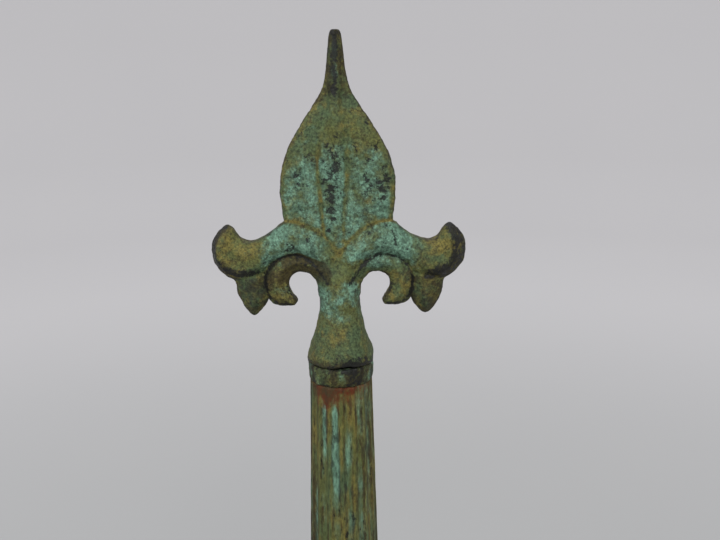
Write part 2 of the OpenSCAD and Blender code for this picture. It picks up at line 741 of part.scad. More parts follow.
module lamp_bracket_nut() color("saddlebrown") difference() {
    hex_y(-5.5 - m3_head_h, -5.5, m3_head_r, lamp_ring_r + 5, lamp_ring_z);
    pin_y(-50, 0, m3_r + seat_gap, lamp_ring_r + 5, lamp_ring_z);
}

// ---- Lamp ----

lamp_half = lamp_w / 2;
hinge_x = lamp_x - lamp_half - hinge_out + 1.5;
hinge_y = lamp_half + hinge_back;
hinge_mid_z = lamp_case_z + lamp_h / 2;

module at_lamp(z) {
    translate([lamp_x, 0, z]) children();
}

module lamp_case() color("darkgreen") difference() {
    union() {
        at_lamp(lamp_bottom_z) cylinder(h = lamp_case_z - lamp_bottom_z + 1, r = lamp_shelf_r + 1);
        translate([lamp_x - lamp_half, -lamp_half, lamp_case_z]) cube([lamp_w, lamp_w, lamp_h]);
        for (s = [-1, 1]) case_knuckle(hinge_mid_z + s * (knuckle_h + face_gap));
    }
    translate([lamp_x - lamp_half + lamp_sheet, -lamp_half + lamp_sheet, lamp_case_z + lamp_sheet])
        cube([lamp_w - 2 * lamp_sheet, lamp_w - 2 * lamp_sheet, lamp_h]);
    translate([lamp_x - door_w / 2 + 2, 0, lamp_case_z + 3]) cube([door_w - 4, lamp_w, lamp_h - 6]);
    pin_y(0, lamp_w, lens_hole_r, lamp_x, arm_z);
    at_lamp(lamp_bottom_z - 1) cylinder(h = lamp_spigot_l, r = lamp_spigot_r + face_gap);
    translate([hinge_x, hinge_y, hinge_mid_z - 30]) cylinder(h = 60, r = hinge_pin_r + seat_gap);
}

// A knuckle on the case, with the tab that carries it
module case_knuckle(z) {
    translate([hinge_x, hinge_y, z - knuckle_h / 2]) cylinder(h = knuckle_h, r = knuckle_r);
    translate([hinge_x, lamp_half - 2.5, z - knuckle_h / 2])
        cube([lamp_x - lamp_half + 0.4 - hinge_x, hinge_back + 2.5, knuckle_h]);
}

chimney_r = 6;
chimney_h = 6;
roof_h = 8;
roof_slab_t = 1.5;
vent_r = 0.9;
module lamp_roof() color("darkgreen") at_lamp(lamp_top_z) difference() {
    union() {
        translate([-lamp_half - 1.2, -lamp_half - 1.2, 0]) cube([lamp_w + 2.4, lamp_w + 2.4, roof_slab_t]);
        translate([0, 0, roof_slab_t])
            cylinder(h = roof_h - roof_slab_t, r1 = lamp_half - 2.2, r2 = chimney_r + 0.5);
        cylinder(h = roof_h + chimney_h, r = chimney_r);
        translate([0, 0, roof_h + chimney_h - 1]) cylinder(h = 1.2, r = chimney_r + 2.6);
        translate([0, 0, roof_h + chimney_h + 0.2]) cylinder(h = 2, r1 = chimney_r + 2, r2 = 2);
    }
    translate([0, 0, -1]) cylinder(h = roof_h + chimney_h, r = chimney_r - lamp_sheet);
    for (a = [0:45:135]) rotate([0, 0, a])
        translate([0, 20, roof_h + chimney_h / 2]) rotate([90, 0, 0]) cylinder(h = 40, r = vent_r);
}

barrel_back_f = lamp_half - lamp_sheet;
barrel_front_f = lamp_half + 9;
module lamp_lens_barrel() color("goldenrod") difference() {
    union() {
        pin_y(barrel_back_f, barrel_front_f, lens_hole_r - seat_gap, lamp_x, arm_z);
        pin_y(lamp_half, barrel_front_f, lens_hole_r + 1.2, lamp_x, arm_z);
        pin_y(barrel_front_f - 2, barrel_front_f, lens_hole_r + 2, lamp_x, arm_z);
    }
    pin_y(0, 100, lens_hole_r - 1.6, lamp_x, arm_z);
    pin_y(barrel_front_f - 4, 100, lens_hole_r - 0.4, lamp_x, arm_z);
}

// The bullseye lens: flat at the back and domed at the front
lens_r = lens_hole_r - 0.4 - seat_gap;
lens_edge_t = 3;
lens_dome_r = 13;
lens_dome_a = asin(lens_r / lens_dome_r);
lens_dome_z = lens_edge_t - lens_dome_r * cos(lens_dome_a);
lens_section = concat([[0, 0], [lens_r, 0]], arc(0, lens_dome_z, lens_dome_r, 90 - lens_dome_a, 90, 8));
module lamp_lens() color("lightyellow")
    translate([lamp_x, -(barrel_front_f - 4), arm_z]) rotate([90, 0, 0])
        rotate_extrude() polygon(lens_section);

font_r = 9;
font_h = 11;
module lamp_font() color("goldenrod") at_lamp(lamp_case_z + lamp_sheet) difference() {
    union() {
        cylinder(h = font_h, r = font_r);
        translate([0, 0, font_h]) cylinder(h = 2, r1 = font_r, r2 = 4.5);
    }
    translate([0, 0, -1]) cylinder(h = 4.5, r = lamp_spigot_r + 1);
    translate([0, 0, font_h - 1]) cylinder(h = 4, r = 2.5);
}

module lamp_burner() color("goldenrod") at_lamp(lamp_case_z + lamp_sheet + font_h - 1) {
    cylinder(h = 4, r = 2.5 - seat_gap);
    translate([0, 0, 3]) cylinder(h = 1.5, r = 4);
    translate([-2, -0.6, 4]) cube([4, 1.2, 3]);
}

handle_r = lamp_half - 0.5;
handle_wire_r = 1.1;
handle_leg_l = 6;
module lamp_handle() color("gray") at_lamp(lamp_top_z + roof_slab_t) {
    for (sx = [-1, 1]) translate([sx * handle_r, 0, 0]) cylinder(h = handle_leg_l, r = handle_wire_r);
    translate([0, 0, handle_leg_l]) rotate([90, 0, 0]) rotate_extrude(angle = 180)
        translate([handle_r, 0]) circle(r = handle_wire_r, $fn = 24);
}

// ---- Lamp door ----

door_y = lamp_half + door_gap;
module lamp_door() color("darkgreen") difference() {
    union() {
        translate([lamp_x - door_w / 2, door_y, hinge_mid_z - door_h / 2]) cube([door_w, lamp_sheet, door_h]);
        translate([hinge_x, hinge_y, hinge_mid_z - knuckle_h / 2]) cylinder(h = knuckle_h, r = knuckle_r);
        translate([hinge_x, door_y, hinge_mid_z - knuckle_h / 2]) cube([lamp_half, lamp_sheet, knuckle_h]);
        pin_y(-door_y - lamp_sheet - 1.5, -door_y, back_glass_r + 1.6, lamp_x, arm_z);
    }
    translate([hinge_x, hinge_y, hinge_mid_z - 30]) cylinder(h = 60, r = hinge_pin_r + run_gap);
    pin_y(-30, 0, back_glass_r - 1, lamp_x, arm_z);
    pin_y(-30, -door_y - lamp_sheet, back_glass_r + seat_gap, lamp_x, arm_z);
    pin_y(-30, 0, knob_r + seat_gap, knob_x, hinge_mid_z - 4);
}

back_glass_r = 4.6;
module back_light_glass() color("lightyellow")
    pin_y(-door_y - lamp_sheet - 1.2, -door_y - lamp_sheet, back_glass_r, lamp_x, arm_z);

knob_r = 1.2;
knob_x = lamp_x + door_w / 2 - 3.2;
module door_knob() color("goldenrod") {
    pin_y(-door_y - lamp_sheet - 3, -door_y, knob_r, knob_x, hinge_mid_z - 4);
    pin_y(-door_y - lamp_sheet - 5, -door_y - lamp_sheet - 2.5, 2.2, knob_x, hinge_mid_z - 4);
}

module door_hinge_pin() color("goldenrod") translate([hinge_x, hinge_y, hinge_mid_z]) {
    pin_half = 1.5 * knuckle_h + face_gap;
    translate([0, 0, -pin_half]) cylinder(h = 2 * pin_half + 0.5, r = hinge_pin_r);
    translate([0, 0, pin_half]) cylinder(h = 1.2, r = 1.7);
}

// ---- One line per node ----

base_plate();
column_shoe();
shoe_bolts();
fluted_post();
post_set_screws();
tie_rod();
tie_rod_washer();
tie_rod_nut();
finial();
finial_collar();
arm_bracket();
arm_bracket_strap();
lever_bracket();
lever_bracket_strap();
clamp_bolts();
clamp_nuts();
arm_spindle();
lever_spindle();
spindle_washers();
spindle_nuts();
split_pins();
danger_stop_screw();
danger_stop_nut();
lamp_bracket();
lamp_bracket_screw();
lamp_bracket_nut();
spectacle();
arm_bush();
arm_blade();
arm_bolts();
arm_nuts();
red_glass();
green_glass();
glass_rings();
arm_crank_pin();
arm_pin_washer();
down_rod();
rod_eyes();
rod_lock_nuts();
balance_lever();
lever_bush();
balance_weight();
weight_set_screw();
lever_crank_pin();
lever_pin_washer();
lamp_case();
lamp_roof();
lamp_lens_barrel();
lamp_lens();
lamp_font();
lamp_burner();
lamp_handle();
lamp_door();
back_light_glass();
door_knob();
door_hinge_pin();
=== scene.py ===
"""Looks for a semaphore signal: a fleur-de-lis finial on a fluted post, with its arm, lamp and lever.

The packed model is the frame. The finial, its collar and the fluted post are made here in full detail, the
fasteners are made by Geometry Nodes, and every other piece of the model gets its finish.
"""

import math

import bmesh
import bpy
import numpy as np
from mathutils import Matrix, Vector, noise


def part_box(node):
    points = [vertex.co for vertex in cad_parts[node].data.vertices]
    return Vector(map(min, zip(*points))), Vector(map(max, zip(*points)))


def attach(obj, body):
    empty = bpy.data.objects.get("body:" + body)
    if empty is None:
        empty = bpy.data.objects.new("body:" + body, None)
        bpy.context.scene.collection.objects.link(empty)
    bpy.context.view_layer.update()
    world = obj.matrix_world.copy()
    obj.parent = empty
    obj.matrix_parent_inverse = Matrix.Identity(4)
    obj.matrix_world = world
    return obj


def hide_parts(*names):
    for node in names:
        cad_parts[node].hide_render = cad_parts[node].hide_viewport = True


bl_info = {
    "name": "Semaphore signal",
    "version": (1, 0, 0),
    "blender": (4, 5, 0),
    "location": "3D View > Sidebar > Signal",
    "description": "Builds a weathered semaphore signal with a fleur-de-lis finial",
    "category": "Add Mesh",
}

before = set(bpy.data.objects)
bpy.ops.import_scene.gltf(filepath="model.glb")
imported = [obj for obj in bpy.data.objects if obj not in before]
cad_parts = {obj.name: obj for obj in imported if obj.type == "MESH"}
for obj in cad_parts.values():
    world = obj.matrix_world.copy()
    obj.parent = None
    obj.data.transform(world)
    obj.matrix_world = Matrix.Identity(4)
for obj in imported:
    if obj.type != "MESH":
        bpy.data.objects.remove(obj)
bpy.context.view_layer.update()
MM = 0.001
COLLAR_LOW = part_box("finial_collar")[0].z
SHOE_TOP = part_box("column_shoe")[1].z


def shade(red, green, blue):
    """The scene colour of a paint chip whose red, green and blue go from 0 to 255."""
    channels = (red / 255, green / 255, blue / 255)
    return tuple(c / 12.92 if c < 0.0405 else ((c + 0.055) / 1.055) ** 2.4 for c in channels)


# ---- Sizes and colours that a user may change ----


def colour_property(name, description, default):
    return bpy.props.FloatVectorProperty(
        name=name, description=description, subtype="COLOR", size=3, min=0, max=1, default=default
    )


def length_property(name, description, default, low=0):
    return bpy.props.FloatProperty(
        name=name, description=description, default=default, min=low, unit="LENGTH"
    )


def share_property(name, description, default, high):
    return bpy.props.FloatProperty(
        name=name, description=description, default=default, min=0, max=high, subtype="FACTOR"
    )


def count_property(name, description, default, low):
    return bpy.props.IntProperty(name=name, description=description, default=default, min=low)


class PatinaSettings(bpy.types.PropertyGroup):
    """Colours of the weathered castings."""

    turquoise: colour_property("Turquoise", "Fresh bloom on the arms and the leaf", shade(110, 148, 126))
    turquoise_deep: colour_property("Deep turquoise", "Darker part of the bloom", shade(80, 110, 90))
    olive: colour_property("Olive", "Old patina between the blooms", shade(90, 94, 48))
    grey_green: colour_property("Grey green", "Dull patina on the flat parts", shade(76, 94, 62))
    ochre: colour_property("Ochre", "Worn metal on lobes, seams and edges", shade(110, 102, 50))
    brown: colour_property("Brown", "Dark worn metal", shade(58, 48, 26))
    slate: colour_property("Slate", "Dark smudges in the bloom", shade(46, 58, 48))
    black: colour_property("Black", "Tarnish in specks and along hollow edges", shade(20, 22, 20))
    rust: colour_property("Rust", "Streaks under the collar", shade(84, 30, 4))


class FinialSettings(bpy.types.PropertyGroup):
    """Sizes of the finial's relief."""

    cell: length_property("Mesh cell", "Size of the cells that the finial is cut from", 0.00044, 0.0003)
    groove: length_property("Groove depth", "Depth of the two grooves down the leaf", 0.0004)
    lumps: length_property("Lumps", "Height of the casting's uneven surface", 0.00016)


class PostSettings(bpy.types.PropertyGroup):
    """Sizes of the fluted post."""

    flutes: count_property("Flutes", "Number of flutes round the post", 16, 6)
    flute_depth: share_property("Flute depth", "Depth of a flute as a share of the radius", 0.06, 0.2)
    wear: length_property("Wear", "Height of the worn surface's lumps", 0.00022)


class MetalSettings(bpy.types.PropertyGroup):
    """Colours of the ironwork, the steel, the brass and the lamp."""

    paint: colour_property("Paint", "Dark green paint on the ironwork", shade(44, 56, 45))
    faded: colour_property("Faded paint", "Chalky paint where the weather reaches it", shade(76, 90, 72))
    primer: colour_property("Bare iron", "Iron where the paint has chipped off", shade(74, 66, 58))
    rust_dark: colour_property("Old rust", "Dark rust on iron and screws", shade(60, 40, 26))
    rust_bright: colour_property("Fresh rust", "Orange rust on iron and screws", shade(124, 78, 42))
    steel: colour_property("Steel", "Rubbed steel of rods and pins", shade(158, 155, 148))
    oil: colour_property("Oil film", "Dark oil on rods and pins", shade(70, 62, 50))
    brass: colour_property("Brass", "Rubbed brass", shade(186, 148, 82))
    brass_dark: colour_property("Tarnished brass", "Brown tarnish on the brass", shade(92, 72, 38))
    lamp_black: colour_property("Lamp paint", "Black paint on the lamp", shade(30, 33, 34))
    lamp_worn: colour_property("Worn lamp paint", "Grey where the lamp's paint is thin", shade(78, 80, 76))


class ArmSettings(bpy.types.PropertyGroup):
    """Colours of the signal arm and of the glasses."""

    red: colour_property("Red", "Enamel on the arm's front", shade(158, 34, 24))
    red_faded: colour_property("Faded red", "Enamel that the sun has bleached", shade(184, 84, 62))
    cream: colour_property("White", "Stripe on the front, and the arm's rear", shade(206, 200, 180))
    bar: colour_property("Black", "Stripe on the arm's rear", shade(34, 34, 34))
    stripe: length_property("Stripe", "Distance of the stripe's middle from the pivot", 0.188)
    stripe_width: length_property("Stripe width", "Width of the stripe across the arm", 0.013)
    red_glass: colour_property("Red glass", "The lower coloured glass", shade(226, 36, 22))
    green_glass: colour_property("Green glass", "The upper coloured glass", shade(40, 190, 150))
    clear_glass: colour_property("Clear glass", "The lamp's lens", shade(240, 242, 232))


class FastenerSettings(bpy.types.PropertyGroup):
    """Shape of the bolts, nuts and screws."""

    chamfer: share_property("Chamfer", "Drop of a head's corners as a share of its height", 0.16, 0.4)
    turns: count_property("Thread turns", "Turns of thread on a shank", 18, 4)
    thread: share_property("Thread depth", "Depth of the thread as a share of the shank's radius", 0.16, 0.3)


# ---- Making meshes ----


def put_object(name, data):
    """A new object at the origin."""
    thing = bpy.data.objects.new(name, data)
    bpy.context.scene.collection.objects.link(thing)
    return thing


def put_mesh(name, vertices, faces, material):
    """A new smooth mesh object, from vertices in metres and faces."""
    mesh = bpy.data.meshes.new(name)
    mesh.from_pydata([tuple(v) for v in vertices], [], [tuple(f) for f in faces])
    mesh.validate()
    mesh.shade_smooth()
    mesh.materials.append(material)
    return put_object(name, mesh)


def put_attribute(mesh, name, values):
    layer = mesh.attributes.new(name, "FLOAT", "POINT")
    layer.data.foreach_set("value", np.asarray(values, np.float32))


def turned(name, profile, sides, material):
    """A closed solid turned about Z from (radius, height) points, with its ends on the axis or joined."""
    on_axis = [r <= 1e-9 for r, z in profile]
    vertices, rings = [], []
    for (r, z), point in zip(profile, on_axis):
        count = 1 if point else sides
        rings.append(range(len(vertices), len(vertices) + count))
        for i in range(count):
            a = 2 * math.pi * i / sides
            vertices.append((r * math.cos(a), r * math.sin(a), z))
    closed = not (on_axis[0] and on_axis[-1])
    pairs = list(zip(rings, rings[1:])) + ([(rings[-1], rings[0])] if closed else [])
    faces = []
    for low, high in pairs:
        for i in range(sides):
            j = (i + 1) % sides
            if len(low) == 1:
                faces.append((low[0], high[j], high[i]))
            elif len(high) == 1:
                faces.append((low[i], low[j], high[0]))
            else:
                faces.append((low[i], low[j], high[j], high[i]))
    return put_mesh(name, vertices, faces, material)


def face_outwards(mesh):
    bm = bmesh.new()
    bm.from_mesh(mesh)
    bmesh.ops.recalc_face_normals(bm, faces=bm.faces)
    bm.to_mesh(mesh)
    bm.free()


def merged_copy(node):
    """A working copy of a model node's mesh with its loose triangles joined up."""
    bm = bmesh.new()
    bm.from_mesh(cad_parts[node].data)
    bmesh.ops.remove_doubles(bm, verts=bm.verts, dist=2e-6)
    return bm


def islands(bm):
    """The separate solids of a mesh, each a list of vertices."""
    left = set(bm.verts)
    while left:
        island = [left.pop()]
        for vert in island:
            for edge in vert.link_edges:
                other = edge.other_vert(vert)
                if other in left:
                    left.discard(other)
                    island.append(other)
        yield island


def bake_modifiers(piece):
    """Turns an object with modifiers into a plain mesh object."""
    bpy.context.view_layer.update()
    made = bpy.data.meshes.new_from_object(piece.evaluated_get(bpy.context.evaluated_depsgraph_get()))
    piece.modifiers.clear()
    piece.data = made
    made.name = piece.name


def lay_piece(piece, body, slot, *nodes):
    """Ties a finished piece to its body and hides the model nodes it stands for. slot is not used."""
    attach(piece, body)
    if nodes:
        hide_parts(*nodes)


# ---- Node trees ----


class Wire:
    """A node's output, which takes part in sums as a number does."""

    def __init__(self, nodes, socket):
        self.nodes = nodes
        self.socket = socket


def sum_rule(operation, swapped):
    """A method of Wire that puts a node in the tree instead of working out a sum."""

    def rule(wire, other):
        a, b = (other, wire) if swapped else (wire, other)
        return wire.nodes.maths(operation, a, b)

    return rule


for word, operation in (("add", "ADD"), ("sub", "SUBTRACT"), ("mul", "MULTIPLY"), ("truediv", "DIVIDE")):
    setattr(Wire, f"__{word}__", sum_rule(operation, False))
    setattr(Wire, f"__r{word}__", sum_rule(operation, True))


class Nodes:
    """A node tree built one node at a time."""

    def feed(self, socket, value):
        if isinstance(value, Wire):
            self.tree.links.new(value.socket, socket)
        elif socket.type == "RGBA":
            socket.default_value = (*value[:3], 1)
        else:
            socket.default_value = value

    def node(self, kind, inputs=None, **settings):
        node = self.tree.nodes.new(kind)
        for key, value in settings.items():
            setattr(node, key, value)
        for key, value in (inputs or {}).items():
            self.feed(node.inputs[key], value)
        return node

    def wire(self, kind, inputs=None, output=0, **settings):
        """One output of a new node."""
        return Wire(self, self.node(kind, inputs, **settings).outputs[output])

    def split(self, vector):
        """The x, y and z of a vector."""
        return [Wire(self, socket) for socket in self.node("ShaderNodeSeparateXYZ", {0: vector}).outputs]

    def maths(self, operation, *values, clamp=False):
        return self.wire("ShaderNodeMath", dict(enumerate(values)), operation=operation, use_clamp=clamp)

    def step(self, value, low, high):
        """0 under low, 1 over high and smooth between them. It falls where low is above high."""
        rising = low < high
        inputs = {"Value": value, "From Min": min(low, high), "From Max": max(low, high)}
        inputs |= {"To Min": 0 if rising else 1, "To Max": 1 if rising else 0}
        return self.wire("ShaderNodeMapRange", inputs, interpolation_type="SMOOTHSTEP")


# ---- Finishes ----


class Finish(Nodes):
    """A material. Lengths inside it are in millimetres of object space."""

    def __init__(self, name):
        self.material = bpy.data.materials.new(name)
        self.material.use_nodes = True
        self.tree = self.material.node_tree
        self.tree.nodes.clear()
        self.place = self.scaled(self.wire("ShaderNodeTexCoord", None, "Object"), 1 / MM)

    def facing(self):
        """The x, y and z of the piece's own surface direction."""
        return self.split(self.wire("ShaderNodeTexCoord", None, "Normal"))

    def scaled(self, vector, scale):
        return self.wire("ShaderNodeVectorMath", {0: vector, "Scale": scale}, operation="SCALE")

    def noise(self, size, detail=3, rough=0.55, stretch=None, shift=None):
        """Noise whose lumps are about size millimetres across."""
        place = self.place
        if shift:
            place = self.wire("ShaderNodeVectorMath", {0: place, 1: shift}, operation="ADD")
        if stretch:
            place = self.wire("ShaderNodeVectorMath", {0: place, 1: stretch}, operation="MULTIPLY")
        inputs = {"Vector": place, "Scale": 1 / size, "Detail": detail, "Roughness": rough}
        return self.wire("ShaderNodeTexNoise", inputs, "Fac")

    def swing(self, size, gain, detail=3, rough=0.55, stretch=None, shift=None):
        """Noise that swings evenly to both sides of 0."""
        return (self.noise(size, detail, rough, stretch, shift) - 0.5) * gain

    def mix(self, share, a, b):
        return self.wire("ShaderNodeMix", {"Factor": share, 6: a, 7: b}, 2, data_type="RGBA")

    def attribute(self, name):
        return self.wire("ShaderNodeAttribute", None, "Fac", attribute_name=name)

    def bump(self, height, depth, normal=None):
        """Bump whose full height is depth millimetres."""
        inputs = {"Strength": 1, "Distance": depth * MM, "Height": height}
        if normal is not None:
            inputs["Normal"] = normal
        return self.wire("ShaderNodeBump", inputs, "Normal")

    def round_edges(self, radius):
        """A normal that rounds sharp edges over, and a mask that is 1 along them."""
        bevel = self.wire("ShaderNodeBevel", {"Radius": radius * MM}, "Normal", samples=4)
        flat = self.wire("ShaderNodeNewGeometry", None, "Normal")
        inputs = {0: bevel, 1: flat}
        likeness = self.wire("ShaderNodeVectorMath", inputs, "Value", operation="DOT_PRODUCT")
        return bevel, self.step(likeness, 0.985, 0.86)

    def surface(self, colour, roughness, normal=None, metallic=0, **more):
        """The finished material. more names other inputs of its shader, with _ for a space."""
        inputs = {"Base Color": colour, "Roughness": roughness, "Metallic": metallic}
        if normal is not None:
            inputs["Normal"] = normal
        inputs |= {key.replace("_", " "): value for key, value in more.items()}
        shader = self.wire("ShaderNodeBsdfPrincipled", inputs)
        self.node("ShaderNodeOutputMaterial", {"Surface": shader})
        return self.material


def patina_layers(f, turquoise, ochre, black, grime_and_shade, tone_and_painted_light, run=(1, 1, 1), calm=1.0):
    """The patina's colour, roughness and bump from masks for bloom, worn metal, tarnish, grime and tone; the
    grime and tone masks also carry painted shade, and tone a painted highlight.
    """
    c = bpy.context.scene.signal_patina
    broad = f.swing(12, 1.6, 3, 0.55, run)
    patch = f.swing(8, 2.7 * calm, 7, 0.66, run, (31, 7, 3))
    fleck = f.swing(2.1, 3 * calm, 6, 0.74, run, (5, 19, 11))
    grain = f.swing(0.95, 3.6 * calm, 3, 0.75, run, (1, 2, 9))
    base = f.mix(f.step(broad, -0.25, 0.25), c.olive, c.grey_green)
    worn = ochre + f.swing(5, 2.4, 5, 0.6, run, (61, 3, 5)) + fleck * 0.35
    colour = f.mix(f.step(worn, 0, 0.75), base, c.ochre)
    bloom_mask = f.step(turquoise + patch + fleck * 0.25, 0.08, 0.78)
    fresh = f.step(fleck + f.swing(4, 2, 4, 0.6, run, (4, 44, 4)), -0.45, 0.45)
    colour = f.mix(bloom_mask, colour, f.mix(fresh, c.turquoise_deep, c.turquoise))
    dirt = f.swing(2.9, 3.4, 7, 0.76, run, (3, 61, 17)) + f.swing(9, 1.4, 3, 0.6, run, (8, 1, 71)) + grime_and_shade
    dirt_colour = f.mix(f.step(broad + bloom_mask * 0.6, -0.1, 0.5), c.brown, c.slate)
    colour = f.mix(f.step(dirt, 0.16, 0.66) * 0.8, colour, dirt_colour)
    tarnish = f.swing(1.5, 6, 6, 0.8, run, (40, 3, 77)) + f.swing(6, 2, 3, 0.6, run, (9, 90, 2)) + black
    black_mask = f.step(tarnish, 0.78, 1.0)
    colour = f.mix(black_mask * 0.92, colour, c.black)
    colour = f.scaled(colour, f.maths("MAXIMUM", (1 + (grain + fleck * 0.25)) * tone_and_painted_light, 0.15))
    rough = f.maths("SUBTRACT", 0.68 + fleck * 0.2, black_mask * 0.24, clamp=True)
    height = patch * 0.1 + fleck * 0.22 + grain * 0.22 - black_mask * 0.16
    return colour, rough, height


def casting_patina():
    """The finial's patina, steered by the masks stored on its vertices."""
    f = Finish("casting_patina")
    masks = [f.attribute(name) for name in ("bloom", "worn", "tarnish", "grime_and_shade", "tone_and_painted_light")]
    colour, rough, height = patina_layers(f, *masks)
    return f.surface(colour, rough, f.bump(height, 0.5), Specular_IOR_Level=0.3)


def post_patina():
    """The post's patina: ridges of olive, blooms in the flutes, and rust that runs down from the collar."""
    f = Finish("post_patina")
    c = bpy.context.scene.signal_patina
    flute = f.attribute("flute")
    lip = flute * (1 - flute)
    run = (1, 1, 0.3)
    streak = f.swing(4, 2, 4, 0.55, (1, 1, 0.1), (2, 9, 4))
    fine = f.swing(1.8, 1.9, 4, 0.6, (1, 1, 0.09), (7, 7, 50))
    bloom = flute * 0.3 + streak * 0.6 + f.attribute("bloom")
    tarnish = fine * 0.3 + lip * 0.9 + f.attribute("tarnish")
    worn = fine * 0.7 + 0.3
    grime_and_shade = f.attribute("grime_and_shade") + lip * 1.6 + fine * 0.5
    colour, rough, height = patina_layers(f, bloom, worn, tarnish, grime_and_shade, f.attribute("tone_and_painted_light"), run, 0.65)
    rust = f.attribute("rust") + fine * 0.6 + f.swing(2.2, 1.6, 5, 0.7)
    rust_brown = f.mix(f.step(f.swing(2.6, 3, 5, 0.75) + f.attribute("rust"), 0.35, 1.7), c.rust, c.brown)
    colour = f.mix(f.step(rust, 0.15, 0.95) * 0.97, colour, rust_brown)
    return f.surface(colour, rough, f.bump(height, 0.5), Specular_IOR_Level=0.25)


def rust_colour(f, size):
    """Rust from dark brown to orange in clumps of a given size."""
    c = bpy.context.scene.signal_metal
    clump = f.swing(size, 2.6, 5, 0.7, None, (9, 2, 31)) + f.swing(size / 3, 1.6, 4, 0.7, None, (3, 3, 8))
    return f.mix(f.step(clump, -0.35, 0.55), c.rust_dark, c.rust_bright)


def upward(f):
    """1 on faces of the piece that look up, 0 on the rest."""
    return f.step(f.facing()[2], 0.35, 0.9)


def ironwork():
    """Old green paint on cast iron: chalky patches, chipped edges, rust and dust."""
    f = Finish("painted_ironwork")
    c = bpy.context.scene.signal_metal
    normal, edge = f.round_edges(0.5)
    broad = f.swing(24, 2.2, 3)
    patch = f.swing(6.5, 3, 6, 0.65, None, (13, 5, 1))
    fleck = f.swing(1.9, 3, 5, 0.72, None, (2, 17, 6))
    sand = f.swing(0.8, 2.6, 3, 0.7, None, (7, 1, 4))
    drip = f.swing(3.2, 2.4, 4, 0.6, (1, 1, 0.12), (4, 8, 2))
    paint = f.mix(f.step(broad + drip * 0.8, -0.3, 0.7), c.paint, c.faded)
    dust = upward(f) * f.step(patch + fleck, -0.5, 0.7)
    paint = f.mix(dust * 0.55, paint, bpy.context.scene.signal_patina.olive)
    stain = patch + drip * 0.7 + fleck * 0.3
    rusted = f.step(stain + edge * 0.3, 0.18, 0.7) * 0.85
    colour = f.mix(rusted, paint, rust_colour(f, 4))
    chips = edge * 0.8 + patch * 0.35 + fleck * 0.55
    chipped = f.step(chips, 0.46, 0.58)
    bare = f.mix(f.step(fleck, -0.2, 0.3), c.rust_dark, c.primer)
    colour = f.mix(chipped, colour, bare)
    colour = f.scaled(colour, 0.95 + (sand * 0.35 + fleck * 0.2))
    rough = 0.62 + fleck * 0.14 + rusted * 0.2
    height = sand * 0.2 + fleck * 0.2 + patch * 0.12 - chipped * 0.22
    return f.surface(colour, rough, f.bump(height, 0.4, normal), Specular_IOR_Level=0.35)


def rusty_screws():
    """Rusted bolts and nuts with dull steel on their rubbed corners."""
    f = Finish("rusty_screws")
    c = bpy.context.scene.signal_metal
    normal, edge = f.round_edges(0.25)
    fleck = f.swing(1.4, 3, 5, 0.72, None, (2, 17, 6))
    pits = f.swing(0.6, 3, 3, 0.7, None, (7, 1, 4))
    rust = rust_colour(f, 3)
    shine = f.step(edge * 0.7 + fleck * 0.5, 0.5, 0.75)
    steel = f.mix(f.step(pits, -0.3, 0.4), c.oil, c.steel)
    colour = f.mix(shine * 0.7, rust, steel)
    colour = f.scaled(colour, 0.68 + pits * 0.4)
    rough = 0.72 + fleck * 0.15 + shine * -0.25
    height = fleck * 0.2 + pits * 0.3
    return f.surface(colour, rough, f.bump(height, 0.3, normal), shine * 0.8, Specular_IOR_Level=0.35)


def oiled_steel():
    """Dull steel of rods, pins and spindles, streaked with oil and freckled with rust."""
    f = Finish("oiled_steel")
    c = bpy.context.scene.signal_metal
    normal, edge = f.round_edges(0.2)
    film = f.swing(7, 2.4, 4, 0.6) + f.swing(1.8, 2, 4, 0.7, (1, 1, 0.2), (3, 1, 8))
    scratch = f.swing(0.5, 2.6, 3, 0.6, (1, 1, 0.08), (2, 4, 2))
    freckle = f.swing(2.2, 3.2, 5, 0.75, None, (1, 1, 40)) + edge * -0.2
    colour = f.mix(f.step(film, -0.4, 0.6), c.steel, c.oil)
    rusted = f.step(freckle, 0.4, 0.7)
    colour = f.mix(rusted, colour, rust_colour(f, 2))
    colour = f.scaled(colour, 0.9 + scratch * 0.3)
    rough = 0.42 + film * 0.12 + rusted * 0.35 + scratch * 0.1
    metal = 0.85 - rusted * 0.8
    height = scratch * 0.12 + rusted * 0.2
    return f.surface(colour, rough, f.bump(height, 0.2, normal), metal)


def old_brass():
    """Tarnished brass, brighter on its edges, with verdigris in patches."""
    f = Finish("old_brass")
    c = bpy.context.scene.signal_metal
    normal, edge = f.round_edges(0.3)
    cloud = f.swing(5, 2.6, 5, 0.65) + f.swing(1.2, 2, 4, 0.7, None, (5, 5, 1))
    fine = f.swing(0.5, 2.6, 3, 0.7, None, (1, 8, 1))
    dull = cloud * 0.8 + edge * -0.9 + 0.15
    colour = f.mix(f.step(dull, -0.5, 0.5), c.brass, c.brass_dark)
    green = f.step(f.swing(3, 3.2, 6, 0.7, None, (30, 2, 2)) + edge * -0.5, 0.4, 0.75)
    colour = f.mix(green * 0.75, colour, bpy.context.scene.signal_patina.turquoise_deep)
    colour = f.scaled(colour, 0.92 + fine * 0.25)
    rough = 0.4 + cloud * 0.12 + green * 0.4
    metal = 0.9 - green * 0.85
    height = fine * 0.12 + green * 0.25
    return f.surface(colour, rough, f.bump(height, 0.2, normal), metal)


